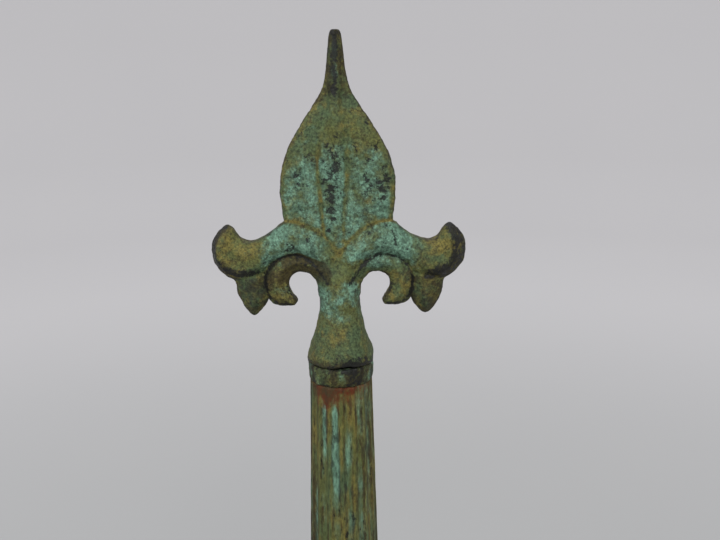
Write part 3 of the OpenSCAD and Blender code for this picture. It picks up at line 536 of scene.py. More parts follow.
def lamp_paint():
    """Black paint on the lamp's sheet metal, sooty above, worn to metal along its folds."""
    f = Finish("lamp_paint")
    c = bpy.context.scene.signal_metal
    normal, edge = f.round_edges(0.35)
    broad = f.swing(14, 2.2, 3)
    fleck = f.swing(1.6, 3, 5, 0.72, None, (2, 17, 6))
    fine = f.swing(0.6, 2.6, 3, 0.7, None, (7, 1, 4))
    drip = f.swing(2.6, 2.4, 4, 0.6, (1, 1, 0.12), (4, 8, 2))
    colour = f.mix(f.step(broad + drip, -0.2, 1), c.lamp_black, c.lamp_worn)
    rusted = f.step(f.swing(4.5, 3, 6, 0.7, None, (8, 3, 1)) + drip * 0.5, 0.55, 0.9)
    colour = f.mix(rusted, colour, rust_colour(f, 3))
    worn = f.step(edge * 0.75 + fleck * 0.5, 0.52, 0.7)
    colour = f.mix(worn, colour, f.mix(f.step(fine, -0.2, 0.3), c.rust_dark, c.steel))
    rough = 0.45 + fleck * 0.12 + rusted * 0.35 + broad * 0.1
    height = fine * 0.1 + broad * 0.3 + worn * -0.2
    return f.surface(colour, rough, f.bump(height, 0.25, normal), worn * 0.6, Specular_IOR_Level=0.5)


def arm_enamel():
    """Enamel: red with a white stripe in front, white with a black stripe behind, chipped to rust."""
    f = Finish("arm_enamel")
    s = bpy.context.scene.signal_arm
    c = bpy.context.scene.signal_metal
    normal, edge = f.round_edges(0.6)
    x, y, z = f.split(f.place)
    rear = f.step(f.facing()[1], 0.4, 0.6)
    wobble = f.swing(2.5, 0.5, 3)
    from_stripe = f.maths("ABSOLUTE", x + wobble - s.stripe / MM)
    half = s.stripe_width / MM / 2
    stripe = f.step(from_stripe, half + 0.15, half - 0.15)
    broad = f.swing(22, 2.4, 3)
    fleck = f.swing(1.8, 3, 5, 0.72, None, (2, 17, 6))
    fine = f.swing(0.7, 2.6, 3, 0.7, None, (7, 1, 4))
    streak = f.swing(3.4, 2.6, 5, 0.62, (1, 1, 0.1), (4, 8, 2))
    faded = f.step(broad + streak * 0.7, -0.3, 0.9)
    red = f.mix(faded, s.red, s.red_faded)
    colour = f.mix(rear, f.mix(stripe, red, s.cream), f.mix(stripe, s.cream, s.bar))
    dirt = f.step(streak + fleck * 0.5 + f.swing(9, 2.6, 5) + edge * 0.4, -0.2, 0.9)
    colour = f.mix(dirt * 0.65, colour, c.oil)
    bolts = 0
    for place in (22, 34, 46):
        ring = f.maths("MAXIMUM", f.maths("ABSOLUTE", x - place), f.maths("ABSOLUTE", z - 332) * 0.5)
        bolts = f.maths("MAXIMUM", bolts, f.step(ring, 4.6, 2.4))
    chips = edge * 0.8 + f.swing(5, 2.8, 6, 0.72, None, (1, 60, 1)) + fleck * 0.35 + bolts * 0.45
    halo = f.step(chips, 0.36, 0.78)
    colour = f.mix(halo * 0.75, colour, rust_colour(f, 5))
    gone = f.step(chips, 0.66, 0.74)
    colour = f.mix(gone, colour, c.rust_dark)
    colour = f.scaled(colour, 0.97 + fine * 0.12)
    rough = 0.32 + dirt * 0.2 + halo * 0.35 + faded * 0.12
    height = gone * -0.35 + fine * 0.05 + broad * 0.3
    return f.surface(colour, rough, f.bump(height, 0.3, normal))


def cast_glass(name, colour, shadow):
    """Pressed glass with dust round its rim and faint waves in its face."""
    f = Finish(name)
    wave = f.swing(4, 2, 3, 0.5)
    smudge = f.swing(3, 3, 5, 0.7, None, (5, 1, 2)) + f.swing(0.8, 1.4, 3, 0.7)
    tint = f.mix(f.step(wave + smudge, -0.6, 0.9), colour, [c * shadow for c in colour])
    rough = 0.06 + f.step(smudge, -0.1, 0.8) * 0.3
    height = wave * 0.5 + smudge * 0.06
    return f.surface(tint, rough, f.bump(height, 0.25), Transmission_Weight=0.8, IOR=1.5)


# ---- The finial ----

# Outlines and relief lines of the finial, in millimetres from the axis and from the collar's underside
LEAF_SIDE = [
    (0.7, 133.2), (1.5, 132.7), (2.15, 131.6), (2.5, 129.8), (3, 125), (3.9, 117.5), (5.6, 111.6),
    (8.6, 106.5), (12.4, 100.8), (16.3, 94.5), (19.4, 88.3), (21.2, 81.8), (21.8, 75.4), (21.3, 68.7),
    (20, 61), (15, 52), (6, 44),
]
PETAL = [
    (0, 51), (3.4, 55.6), (5.6, 58.1), (9.5, 60.8), (15, 63), (20.4, 63.3), (24.5, 60.2), (28.8, 57.4),
    (33.3, 55.9), (36.2, 56.2), (38.2, 57.8), (40, 60.6), (42.2, 62.6), (44.5, 61.3), (46.6, 59),
    (48.3, 56), (49, 52.6), (48.7, 49), (47.3, 46), (44.8, 43), (41.5, 40.8), (37.5, 39.8), (34, 40.6),
    (30.6, 42.3), (28, 44.6), (25.5, 47.4), (21, 49.4), (16.1, 49.9), (12.2, 48.8), (9.2, 46),
    (6.5, 41.8), (3.4, 38), (0, 36),
]
CURL = [
    (3, 46), (10, 50), (16, 52), (23, 50), (27.6, 46), (28.9, 41), (28.4, 36), (26.5, 32), (22.6, 30.2),
    (18, 30.3), (16.8, 31.2), (16.7, 32.6), (18.1, 34.8), (19.2, 37.2), (19.4, 39.6), (18.4, 42),
    (16.6, 43.4), (14.6, 43.8), (11.8, 43), (9.5, 40.8), (8.2, 37.8), (7.7, 34), (3, 33),
]
BUD = [
    (40.4, 43), (40, 39), (39.4, 35), (38, 31.6), (36, 28.4), (34, 26.7), (32.6, 26.6), (31, 27.8),
    (29, 30.2), (27.6, 33.6), (27.4, 38), (28.4, 44), (34, 46),
]
NECK = [
    (-13, 8.95), (7.4, 8.95), (7.6, 12.9), (9, 13.15), (10.6, 13), (14, 11.7), (17, 10.8), (20, 9.9),
    (23, 9.1), (26, 8.45), (29, 8), (33, 7.8), (37, 7.6), (41, 6.9), (45, 5.6), (49, 3.4), (52, 0.5),
]
GROOVE_LEFT = [
    (-2.9, 112), (-4.6, 103), (-5.9, 96.6), (-7.3, 85.7), (-6.9, 77.5), (-6.4, 71.9), (-5.9, 63.5),
    (-5.2, 57),
]
GROOVE_RIGHT = [(1.6, 112), (2.6, 103), (3.4, 93.9), (3.8, 83.6), (3, 73.6), (2.3, 64.6), (2, 56)]
LOBE_EDGE = [(42.4, 64), (46.8, 60), (49.6, 53), (48, 45.5), (42.3, 39.8), (36, 38.6)]
ARCH = [
    (4.5, 40), (7, 43.6), (9.5, 47), (12.6, 49.3), (16.6, 50.7), (20.5, 50.2), (23.8, 48.4), (26.3, 46),
    (27.7, 43), (28.2, 40.5), (27.9, 37), (26.2, 33.8), (23.4, 31.8), (19, 31.2),
]
FINIAL_TOP = 133


def smooth_path(points, closed, steps=5):
    """Points on a smooth curve through the given ones."""
    p = np.array(points, float)
    n = len(p)
    result = []
    for i in range(n if closed else n - 1):
        a, b, c, d = (p[(i + k) % n] if closed else p[min(max(i + k, 0), n - 1)] for k in (-1, 0, 1, 2))
        for t in np.arange(steps) / steps:
            bend = (2 * a - 5 * b + 4 * c - d) * t**2 + (3 * b - a - 3 * c + d) * t**3
            result.append(0.5 * (2 * b + (c - a) * t + bend))
    if not closed:
        result.append(p[-1])
    return np.array(result)


def path_distance(x, z, path, closed=False):
    """How far each (x, z) is from a path of straight pieces."""
    best = np.full(np.broadcast(x, z).shape, 1e9)
    ends = list(zip(path, np.roll(path, -1, 0))) if closed else list(zip(path[:-1], path[1:]))
    for a, b in ends:
        dx, dz = b - a
        t = np.clip(((x - a[0]) * dx + (z - a[1]) * dz) / max(dx * dx + dz * dz, 1e-12), 0, 1)
        best = np.minimum(best, (x - a[0] - t * dx) ** 2 + (z - a[1] - t * dz) ** 2)
    return np.sqrt(best)


def line_distance(x, z, points):
    """How far each (x, z) is from the smooth curve through some points."""
    return path_distance(x, z, smooth_path(points, False))


def ring_distance(x, z, ring):
    """Distance to a closed outline, negative inside it."""
    inside = np.zeros(np.broadcast(x, z).shape, bool)
    for a, b in zip(ring, np.roll(ring, -1, 0)):
        crosses = (a[1] > z) != (b[1] > z)
        rise = b[1] - a[1]
        at = a[0] + (z - a[1]) * (b[0] - a[0]) / (rise if abs(rise) > 1e-12 else 1e-12)
        inside ^= crosses & (x < at)
    return np.where(inside, -1, 1) * path_distance(x, z, ring, True)


def outline_distance(x, z, points):
    return ring_distance(x, z, smooth_path(points, True))


def leaf_distance(x, z):
    half = smooth_path(LEAF_SIDE, False)
    return ring_distance(x, z, np.vstack([half, (half * (-1, 1))[::-1]]))


def ease(value, low, high):
    """0 at low, 1 at high and smooth between them."""
    t = np.clip((value - low) / (high - low), 0, 1)
    return t * t * (3 - 2 * t)


def bell(distance, width):
    """1 at no distance, falling away over the width."""
    return np.exp(-((distance / width) ** 2))


def join_soft(a, b, k):
    """Two fields as one, with a fillet of size k between them."""
    return np.minimum(a, b) - np.maximum(k - np.abs(a - b), 0) ** 2 / (4 * k)


def rounded_plate(distance, half, y, r):
    """Field of a plate with rounded edges from its outline distance and half thickness."""
    a = distance[:, None, :] + r
    b = np.abs(y) - half + r
    return np.minimum(np.maximum(a, b), 0) + np.hypot(np.maximum(a, 0), np.maximum(b, 0)) - r


def finial_relief(x, z, groove, wide):
    """Half thickness of leaf, petals, curls and buds on one face. wide is the bevel's width on each side."""
    leaf = leaf_distance(x, z)
    deep = np.clip(-leaf / 9, 0, 1)
    leaf_half = 1.5 + 2.3 * (1 - (1 - deep) ** 2)
    spike = ease(z, 100, 112)
    band = np.abs(x + 0.5) - (0.9 + 0.4 * ease(z, 133, 112))
    spike_half = 2.4 - 1.15 * np.clip(band, 0, 3) + 0.25 * ease(z, 130, 112)
    leaf_half = leaf_half * (1 - spike) + np.maximum(spike_half, 0.7) * spike
    left = line_distance(x, z, GROOVE_LEFT)
    right = line_distance(x, z, GROOVE_RIGHT)
    (xs_left, zs_left), (xs_right, zs_right) = (zip(*line[::-1]) for line in (GROOVE_LEFT, GROOVE_RIGHT))
    middle = (x > np.interp(z, zs_left, xs_left)) & (x < np.interp(z, zs_right, xs_right))
    fade = ease(z, 116, 104)
    leaf_half += fade * (0.45 * np.where(middle, ease(np.minimum(left, right), 0.2, 1.6), 0))
    leaf_half -= fade * groove * (bell(left, 1) + bell(right, 1))
    petal, curl, bud = (
        np.minimum(*(outline_distance(s * x, z, outline) for s in (1, -1))) for outline in (PETAL, CURL, BUD)
    )
    petal_half = 3.2 + 2.6 * ease(-petal, -0.5, 5)
    for s, w in zip((-1, 1), wide):
        edge = line_distance(s * x, z, LOBE_EDGE)
        on_lobe = ease(s * x, 28, 36)
        petal_half -= on_lobe * 2.3 * (1 - ease(edge, 0.6, w + 1.2))
        dish = np.hypot(s * x - 41, (z - 51) * 0.85)
        petal_half -= on_lobe * 0.9 * bell(dish, 4.2)
    petal_half -= 0.9 * bell(x, 1.6) * ease(z, 38, 42)
    curl_half = 2.6 + 2.2 * ease(-curl, 0, 5.5)
    ridge = np.abs(np.abs(x) - 33.6)
    bud_half = 1.9 + 2.3 * ease(-bud, 0, 5) + 0.3 * bell(ridge, 1.6)
    parts = {"leaf": (leaf, leaf_half), "petal": (petal, petal_half)}
    return parts | {"curl": (curl, curl_half), "bud": (bud, bud_half)}


def net_surface(field, low, cell):
    """Vertices and quads of the surface where a sampled field is zero, negative being inside."""
    inside = field < 0
    shape = np.array(field.shape)
    count = np.zeros(shape - 1, np.int8)
    corners = [(i, j, k) for i in (0, 1) for j in (0, 1) for k in (0, 1)]
    for i, j, k in corners:
        count += inside[i : shape[0] - 1 + i, j : shape[1] - 1 + j, k : shape[2] - 1 + k]
    cells = np.argwhere((count > 0) & (count < 8))
    index = np.full(shape - 1, -1, np.int64)
    index[tuple(cells.T)] = np.arange(len(cells))
    total = np.zeros((len(cells), 3))
    hits = np.zeros(len(cells))
    for a in corners:
        for axis in range(3):
            if a[axis]:
                continue
            b = tuple(a[n] + (n == axis) for n in range(3))
            fa = field[tuple((cells + a).T)]
            fb = field[tuple((cells + b).T)]
            cross = (fa < 0) != (fb < 0)
            t = np.where(cross, fa / np.where(cross, fa - fb, 1), 0)
            point = np.array(a, float) + t[:, None] * (np.array(b) - a)
            total[cross] += point[cross]
            hits[cross] += 1
    vertices = np.array(low) + cell * (cells + total / hits[:, None])
    faces = []
    for axis in range(3):
        u, v = (axis + 1) % 3, (axis + 2) % 3
        a = np.take(inside, range(shape[axis] - 1), axis)
        b = np.take(inside, range(1, shape[axis]), axis)
        edges = np.argwhere(a != b)
        step_u, step_v = np.eye(3, dtype=int)[u], np.eye(3, dtype=int)[v]
        ring = [edges, edges - step_u, edges - step_u - step_v, edges - step_v]
        quad = np.stack([index[tuple(c.T)] for c in ring], 1)
        out = a[tuple(edges.T)]
        quad[~out] = quad[~out][:, ::-1]
        faces.append(quad)
    return vertices, np.vstack(faces)


def finial_field(x, y, z, groove):
    """The finial's field on a grid, negative inside."""
    x2, z2 = np.meshgrid(x, z, indexing="ij")
    front = finial_relief(x2, z2, groove, (2.2, 5))
    back = finial_relief(-x2, z2, groove, (3.4, 3))
    y3 = y[None, :, None].astype(np.float32)
    behind = y3 > 0
    total = None
    for part, edge, blend in (("leaf", 0.9, 0.6), ("curl", 1.5, 0.5), ("bud", 1.6, 0.5), ("petal", 1.9, 0.6)):
        distance = front[part][0].astype(np.float32)
        half = np.where(behind, back[part][1][:, None, :], front[part][1][:, None, :]).astype(np.float32)
        field = rounded_plate(distance, half, y3, edge)
        total = field if total is None else join_soft(total, field, blend)
    heights, radii = zip(*NECK)
    radius = np.interp(z, heights, radii)[None, None, :]
    around = np.arctan2(y[None, :], x[:, None])
    lift = 0.28 + 0.2 * np.sin(3 * around + 1) + 0.12 * np.sin(7 * around) + 0.5 * bell(around + 1.25, 0.32)
    count = 8 + np.searchsorted(z, 12)
    low = z[:count]
    lip = np.interp(low[None, None] - lift[:, :, None], heights, radii)
    radius = np.broadcast_to(radius, (len(x), len(y), len(z))).copy()
    dent = (0.16 * np.sin(5 * around + 1) + 0.6 * bell(around + 1.3, 0.28))[:, :, None] * bell(low - 8.6, 2.2)
    radius[:, :, :count] = np.where(low < 7.3, radius[:, :, :count], lip - dent)
    reach = np.hypot(x[:, None, None], y3) - radius
    ends = np.maximum(z - 52, -13 - z)[None, None, :]
    neck = np.maximum(reach * 0.93, ends).astype(np.float32)
    soft = (0.3 + 2.6 * ease(z, 30, 42))[None, None, :]
    total = join_soft(total, neck, soft)
    return np.maximum(total, (z - FINIAL_TOP)[None, None, :])


# Black spots on the finial's face, each (x, z, radius)
TARNISH_SPOTS = [
    (-12.6, 96.4, 0.8), (0.4, 95.4, 1), (1.8, 93, 1), (4.8, 95.2, 0.8), (-3.5, 91.8, 0.9), (7.2, 91, 1),
    (11.2, 99.8, 0.9), (14, 91, 1.4), (12, 86.8, 1), (-0.1, 88.6, 1), (-0.1, 85.5, 1.2), (-0.3, 82.6, 1.4),
    (-2.7, 81, 1.6), (-5, 79, 1.3), (-15.6, 81.4, 1.4), (-15.2, 76.9, 1.1), (-10.2, 87.9, 1),
    (10.4, 81, 1.4), (11.2, 79.4, 1.1), (15.5, 78, 1.7), (18.2, 79, 1.2), (16.7, 75.2, 1.6), (16.8, 72, 1.2),
    (17.2, 83.4, 1.1), (11.6, 74.8, 1), (-2.6, 76, 1.6), (-2.4, 72, 1.3), (-2.8, 68, 1.3), (-1.5, 64.5, 1),
    (-3.6, 60, 1.2), (11.4, 59.4, 0.7), (-12, 57, 0.9), (-18, 54, 1), (21, 56, 0.9), (26, 53, 0.8),
]
CRESCENT_LEFT = [
    (41.8, 63.6), (45.6, 60.2), (47.3, 57), (47.8, 53.6), (47.4, 50), (45.4, 47), (42, 45.2), (38.5, 44.3),
    (35, 44.1), (31.5, 44.8),
]
CRESCENT_RIGHT = [
    (42.6, 62.4), (45.2, 58.6), (46.2, 54), (45.4, 49.5), (42.8, 46), (39.4, 43.6), (35.5, 42.6),
]
LOBE_SEAM = [(42, 40.6), (38, 41.4), (34, 42.8), (30, 44.2), (27.6, 46)]


def finial_masks(x, y, z, side):
    """The finial's bloom, worn metal, tarnish, grime and tone, with painted shade on the outer walls, the
    lobes' dark bands and the curl tops under the arches, and a painted highlight on the left lobe. side is 1
    on its outer walls.
    """
    x = np.where(y > 0, -x, x)
    out = np.abs(x)
    right = x > 0
    edge_leaf = -leaf_distance(x, z)
    petal_top = np.interp(out, [p[0] for p in PETAL[:6]], [p[1] for p in PETAL[:6]])
    on_leaf = ease(z - petal_top, -0.4, 0.4) * ease(out, 24, 22)
    off_leaf = 1 - on_leaf
    arm = ease(out, 6, 11) * ease(out, 32, 25) * ease(z, 43, 48) * off_leaf
    lobe = ease(out, 29, 34) * ease(z, 41, 43)
    bud = ease(out, 27, 28.2) * ease(z, 43.4, 41.4)
    curl = ease(out, 9, 12) * ease(out, 28.6, 27.6) * ease(z, 46, 43) * ease(z, 29, 30)
    seam = bell(line_distance(out, z, PETAL[:7]), 0.9) * ease(out, 24, 20)
    groove = np.minimum(line_distance(x, z, GROOVE_LEFT), line_distance(x, z, GROOVE_RIGHT))
    arch = line_distance(out, z, ARCH)
    soot_and_shade_below_arch = bell(np.hypot(out - 10.5, z - 44), 4) * ease(arch, 0.3, 1.5) * (out > 6)
    middle = bell(x + 0.7, 3) * bell(z - 49, 8)
    panel = ease(z, 98, 84) * ease(edge_leaf, 0.8, 3.4) * ease(groove, 0.3, 1.5)
    bloom = 0.3 + 0.34 * arm + 0.26 * on_leaf * panel
    bloom -= 0.42 * on_leaf * ease(z, 87, 95) + 0.3 * on_leaf * ease(edge_leaf, 2.4, 0.8)
    corner = on_leaf * bell(out - 18.5, 3.6) * bell(z - 61.5, 3.6)
    line = on_leaf * bell(groove, 0.65) * ease(z, 100, 94)
    bloom -= 0.42 * corner + np.where(right, 0.15, 0.38) * line
    bloom -= 0.55 * lobe + 0.6 * bud + 0.36 * curl + 0.5 * seam + 0.45 * middle
    bloom += 0.22 * bell(z - 35, 6) * ease(out, 14, 10) - 0.42 * ease(z, 29, 23)
    # Soot and painted shade under the left arch: the bloom is taken away there, and a little is added under
    # the right one.
    bloom -= np.where(right, -0.1, 0.5) * soot_and_shade_below_arch
    curl_edge = outline_distance(out, z, CURL)
    # under is the top of each curl below its petal. Soot and painted shade darken it, more on the left than
    # on the right.
    under = ease(-curl_edge, -0.2, 0.8) * ease(z, 38, 41.5)
    bloom -= (0.2 + 0.4 * (1 - right)) * under + 0.25 * side * off_leaf
    worn = 0.05 + 0.12 * ease(z, 28, 22) + 0.35 * lobe + 0.22 * bud + 0.3 * curl + 0.4 * seam + 0.24 * middle
    worn += 0.35 * corner + np.where(right, 0.1, 0.25) * line + 0.2 * on_leaf * ease(edge_leaf, 2.4, 0.6)
    tarnish = np.zeros_like(x)
    for sx, sz, r in TARNISH_SPOTS:
        tarnish = np.maximum(tarnish, 0.95 * bell(np.hypot(x - sx, z - sz), 1.25 * r))
    tarnish += 0.22 * arm + 0.1 * on_leaf * panel
    tarnish += 0.36 * on_leaf * bell(x + 2.2, 2.6) * ease(z, 97, 90) * ease(z, 58, 66)
    tarnish += 0.52 * on_leaf * bell(np.hypot(x - 15.8, (z - 77.5) * 0.7), 4.6) + 0.04 * on_leaf * right
    tarnish += 0.95 * bell(arch, 0.7) + 0.2 * bell(arch, 2.2) - 0.04
    tarnish += 0.7 * bell(curl_edge + 0.5, 0.9) * curl * ease(z, 42, 39)
    # crescent is the dark band along each lobe's bevelled outer edge: tarnish and grime, with painted shade
    # on the bevel, which faces out and down.
    left_band = line_distance(out, z, CRESCENT_LEFT)
    right_band = line_distance(out, z, CRESCENT_RIGHT)
    crescent = np.where(right, ease(right_band, 4.4, 2), ease(left_band, 2.3, 0.8)) * (z > 41)
    tarnish += 1.2 * crescent
    bud_mid = np.hypot(out - 34, (z - 33) * 0.55)
    tarnish += (0.45 + 0.15 * right) * bell(bud_mid, 2.6) * bud
    tip = ease(z, 103, 113)
    tarnish += 0.98 * tip * bell(x + 0.4, 1.3) + 0.22 * tip + 0.3 * ease(z, 129.5, 131.5)
    bloom += 0.36 * tip * bell(x + 0.4, 1.3) - 0.25 * tip * ease(np.abs(x + 0.4), 1, 2)
    tarnish += 0.7 * bell(z - 8.4, 1) + 1.2 * bell(z - 10, 2.7) * bell(x - 2.8, 5.4)
    tarnish += 0.3 * bell(z - 11, 3.4) * ease(x, -1, 4)
    rim = bell(edge_leaf, 0.8) * on_leaf
    lobe_seam = bell(line_distance(out, z, LOBE_SEAM), 0.9)
    # Grime together with painted shade on the outer walls (side), on the curl tops under the arches (under,
    # heavier on the left) and on the lobes' dark bands (crescent).
    grime_and_shade = 0.42 * bud + 0.22 * curl + 0.16 * lobe + 0.35 * rim + 0.4 * tip + 0.4 * side * ease(z, 26, 30)
    grime_and_shade += np.where(right, 0.15, 0.75) * under + 0.12 * ease(z, 20, 10)
    grime_and_shade += 0.4 * bell(z - 9.6, 2.4) * bell(x - 3, 5) + 0.5 * bell(z - 8.6, 1.6) + 0.15 * crescent
    grime_and_shade -= 0.35 * lobe_seam + 0.2 * bell(np.hypot(out - 39, z - 54), 3) * lobe
    # Darker on the lobes' dark bands (crescent) and on the outer walls (side): painted shade mixed with the
    # real tone.
    tone_and_painted_light = 0.81 - 0.17 * tip - 0.22 * bud - 0.25 * crescent - 0.2 * bell(arch, 0.9) - 0.14 * side
    tone_and_painted_light -= 0.06 * ease(z, 26, 20)
    # A painted highlight lightens the middle of the left lobe.
    tone_and_painted_light += 0.12 * lobe_seam + 0.16 * bell(np.hypot(x + 39, z - 55), 3.4)
    return bloom, worn, tarnish, grime_and_shade, tone_and_painted_light


class SIGNAL_OT_finial(bpy.types.Operator):
    """Make the cast fleur-de-lis finial"""

    bl_idname = "signal.finial"
    bl_label = "Finial"

    def execute(self, context):
        s = context.scene.signal_finial
        cell = s.cell / MM
        x = np.arange(-50.5, 50.6, cell)
        y = np.arange(-14.2, 14.3, cell)
        z = np.arange(-13.9, 134.2, cell)
        field = finial_field(x, y, z, s.groove / MM)
        vertices, faces = net_surface(field, (x[0], y[0], z[0]), cell)
        lumps = s.lumps / MM
        normals = np.stack(np.gradient(field, cell), -1)
        at = tuple(np.round((vertices - (x[0], y[0], z[0])) / cell).astype(int).T)
        normals = normals[at]
        normals /= np.maximum(np.linalg.norm(normals, axis=1, keepdims=True), 1e-9)
        places = [Vector(v) for v in vertices]
        coarse = np.array([noise.fractal(v / 6, 0.7, 2.1, 3) for v in places])
        rough = coarse + 0.55 * np.array([noise.fractal(v / 1.7, 0.8, 2.2, 2) for v in places])
        fade = ease(vertices[:, 2], 7.8, 9.5) * (1 - 0.6 * ease(vertices[:, 2], 104, 120))
        vertices += normals * (rough * lumps * 1.6 * fade)[:, None]
        vertices[:, 2] = np.minimum(vertices[:, 2], FINIAL_TOP)
        # side marks the outer walls, which the masks darken with grime and painted shade.
        side = ease(np.abs(normals[:, 1]), 0.75, 0.3) * ease(vertices[:, 2], 28, 31)
        masks = finial_masks(*vertices.T, side)
        placed = vertices * MM + (0, 0, COLLAR_LOW)
        piece = put_mesh("finial_casting", placed, faces, casting_patina())
        for name, values in zip(("bloom", "worn", "tarnish", "grime_and_shade", "tone_and_painted_light"), masks):
            put_attribute(piece.data, name, values)
        lay_piece(piece, "root", "verdigris", "finial")
        print("finial", len(vertices), "vertices", 2 * len(faces), "triangles")
        return {"FINISHED"}


# The ring's section as (radius, height) in millimetres
COLLAR = [
    (9.02, 0.02), (11.5, 0.02), (12.2, 0.25), (12.55, 0.9), (12.75, 1.9), (12.85, 3.2), (12.9, 4.6),
    (12.9, 5.8), (12.8, 6.7), (12.45, 7.3), (11.8, 7.58), (9.02, 7.58),
]


def ring_noise(angles, heights, fineness, rise, shift):
    """Noise round a ring, from -1 to 1."""
    places = zip(fineness * np.cos(angles), fineness * np.sin(angles), heights / rise + shift)
    return np.array([noise.noise(Vector(place)) for place in places])


class SIGNAL_OT_collar(bpy.types.Operator):
    """Make the hammered ring under the finial"""

    bl_idname = "signal.collar"
    bl_label = "Collar"

    def execute(self, context):
        low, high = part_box("finial_collar")
        rise = high.z - low.z
        outer = high.x
        points = [(r * MM * outer / 0.0129 if r > 10 else r * MM, low.z + h * rise / 7.6) for r, h in COLLAR]
        fine = smooth_path(points[1:-1], False, 3)
        piece = turned("hammered_collar", [points[0], *map(tuple, fine), points[-1]], 160, casting_patina())
        co = np.array([v.co for v in piece.data.vertices])
        a = np.arctan2(co[:, 1], co[:, 0])
        h = (co[:, 2] - low.z) / MM
        dents = ring_noise(a, h, 6.5, 9, 0)
        fine_dents = ring_noise(a, h, 15, 3, 9)
        reach = np.hypot(co[:, 0], co[:, 1])
        grow = np.where(reach > 0.0105, (dents - 0.25) * 0.55 + fine_dents * 0.2, 0) * MM
        co[:, :2] *= (1 + grow / reach)[:, None]
        piece.data.vertices.foreach_set("co", co.astype(np.float32).ravel())
        ahead = np.degrees(a) + 90
        dark_band = bell(h - 6.6, 1.5) * bell(ahead - 10, 34) + bell(ahead - 26, 11) * ease(h, 7.5, 3)
        tarnish = 0.12 + 0.4 * bell(h - 7.6, 0.9) + 0.3 * bell(h, 0.7) - 0.5 * np.minimum(dents, 0)
        masks = {
            "bloom": 0.12 + 0.5 * dents, "worn": 0.1 * dents, "tarnish": tarnish + 0.85 * dark_band,
            "grime_and_shade": 0.38 - 0.9 * dents + 0.3 * dark_band, "tone_and_painted_light": 0.56 + 0.45 * dents,
        }
        for name, values in masks.items():
            put_attribute(piece.data, name, values)
        lay_piece(piece, "root", "verdigris", "finial_collar")
        return {"FINISHED"}


# ---- Geometry Nodes ----


class Shape(Nodes):
    """Geometry Nodes that make a shape."""

    def __init__(self, name):
        self.tree = bpy.data.node_groups.new(name, "GeometryNodeTree")
        for way in ("INPUT", "OUTPUT"):
            self.tree.interface.new_socket("Geometry", in_out=way, socket_type="NodeSocketGeometry")
        self.start = self.node("NodeGroupInput")
        self.identifiers = {}

    def size(self, name, default):
        """A named input of the tree."""
        kind = "NodeSocketInt" if isinstance(default, int) else "NodeSocketFloat"
        socket = self.tree.interface.new_socket(name, in_out="INPUT", socket_type=kind)
        socket.default_value = default
        self.identifiers[name] = socket.identifier
        return Wire(self, self.start.outputs[name])

    def point(self, x, y, z):
        return self.wire("ShaderNodeCombineXYZ", {0: x, 1: y, 2: z})

    def finish(self, geometry, material):
        smooth = self.wire("GeometryNodeSetShadeSmooth", {"Geometry": geometry})
        whole = self.wire("GeometryNodeRealizeInstances", {"Geometry": smooth})
        painted = self.wire("GeometryNodeSetMaterial", {"Geometry": whole, "Material": material})
        self.node("NodeGroupOutput", {0: painted})


def grow(name, shape, sizes, points=(), numbers=None, axes=None):
    """Runs a node tree on points and returns its result as a plain mesh object."""
    mesh = bpy.data.meshes.new(name)
    mesh.from_pydata([tuple(p) for p in points], [], [])
    for key, values in (numbers or {}).items():
        put_attribute(mesh, key, values)
    if axes is not None:
        mesh.attributes.new("axis", "FLOAT_VECTOR", "POINT").data.foreach_set("vector", np.ravel(axes))
    piece = put_object(name, mesh)
    modifier = piece.modifiers.new("build", "NODES")
    modifier.node_group = shape.tree
    for key, value in sizes.items():
        modifier[shape.identifiers[key]] = value
    bake_modifiers(piece)
    return piece


def wrapped_grid(f, columns, rows):
    """A grid to wrap round an axis: its mesh, and each point's share of a turn and of the height."""
    inputs = {"Size X": 1, "Size Y": 1, "Vertices X": columns, "Vertices Y": rows}
    x, y, z = f.split(f.wire("GeometryNodeInputPosition"))
    return f.wire("GeometryNodeMeshGrid", inputs, "Mesh"), x + 0.5, y + 0.5


def wrap(f, mesh, angle, radius, height, weld):
    """Moves a grid's points round the axis and closes its seam."""
    place = f.point(radius * f.maths("COSINE", angle), radius * f.maths("SINE", angle), height)
    moved = f.wire("GeometryNodeSetPosition", {"Geometry": mesh, "Position": place})
    return f.wire("GeometryNodeMergeByDistance", {"Geometry": moved, "Distance": weld})


# ---- The post ----


def post_tree(material):
    """A tapering fluted tube from a grid of angles and heights."""
    f = Shape("fluted_post")
    foot = f.size("Foot radius", 0.022)
    top = f.size("Top radius", 0.012)
    low = f.size("Foot height", 0.062)
    high = f.size("Top height", 0.462)
    flutes = f.size("Flutes", 16.0)
    depth = f.size("Flute depth", 0.06)
    wear = f.size("Wear", 0.0002)
    mesh, turn, climb = wrapped_grid(f, f.size("Points round", 257), f.size("Points up", 300))
    z = low + climb * (high - low)
    radius = foot + climb * (top - foot)
    from_middle = f.maths("ABSOLUTE", f.maths("FRACT", turn * flutes) - 0.5) * 2
    hollow = f.maths("SMOOTH_MAX", 1 - f.maths("POWER", from_middle / 0.8, 2), 0, 0.14)
    stop = 0.009 + from_middle * from_middle * 0.004
    hollow = hollow * f.step(z - low - stop, 0, 0.004)
    angle = turn * (2 * math.pi)
    around = f.point(f.maths("COSINE", angle), f.maths("SINE", angle), z * 26)
    lumps = f.wire("ShaderNodeTexNoise", {"Vector": around, "Scale": 3.2, "Detail": 3})
    radius = radius - hollow * (depth * radius) + (lumps - 0.5) * (wear * 2)
    inputs = {"Geometry": mesh, "Name": "flute", "Value": hollow}
    mesh = f.wire("GeometryNodeStoreNamedAttribute", inputs, data_type="FLOAT", domain="POINT")
    f.finish(wrap(f, mesh, angle, radius, z, 1e-6), material)
    return f


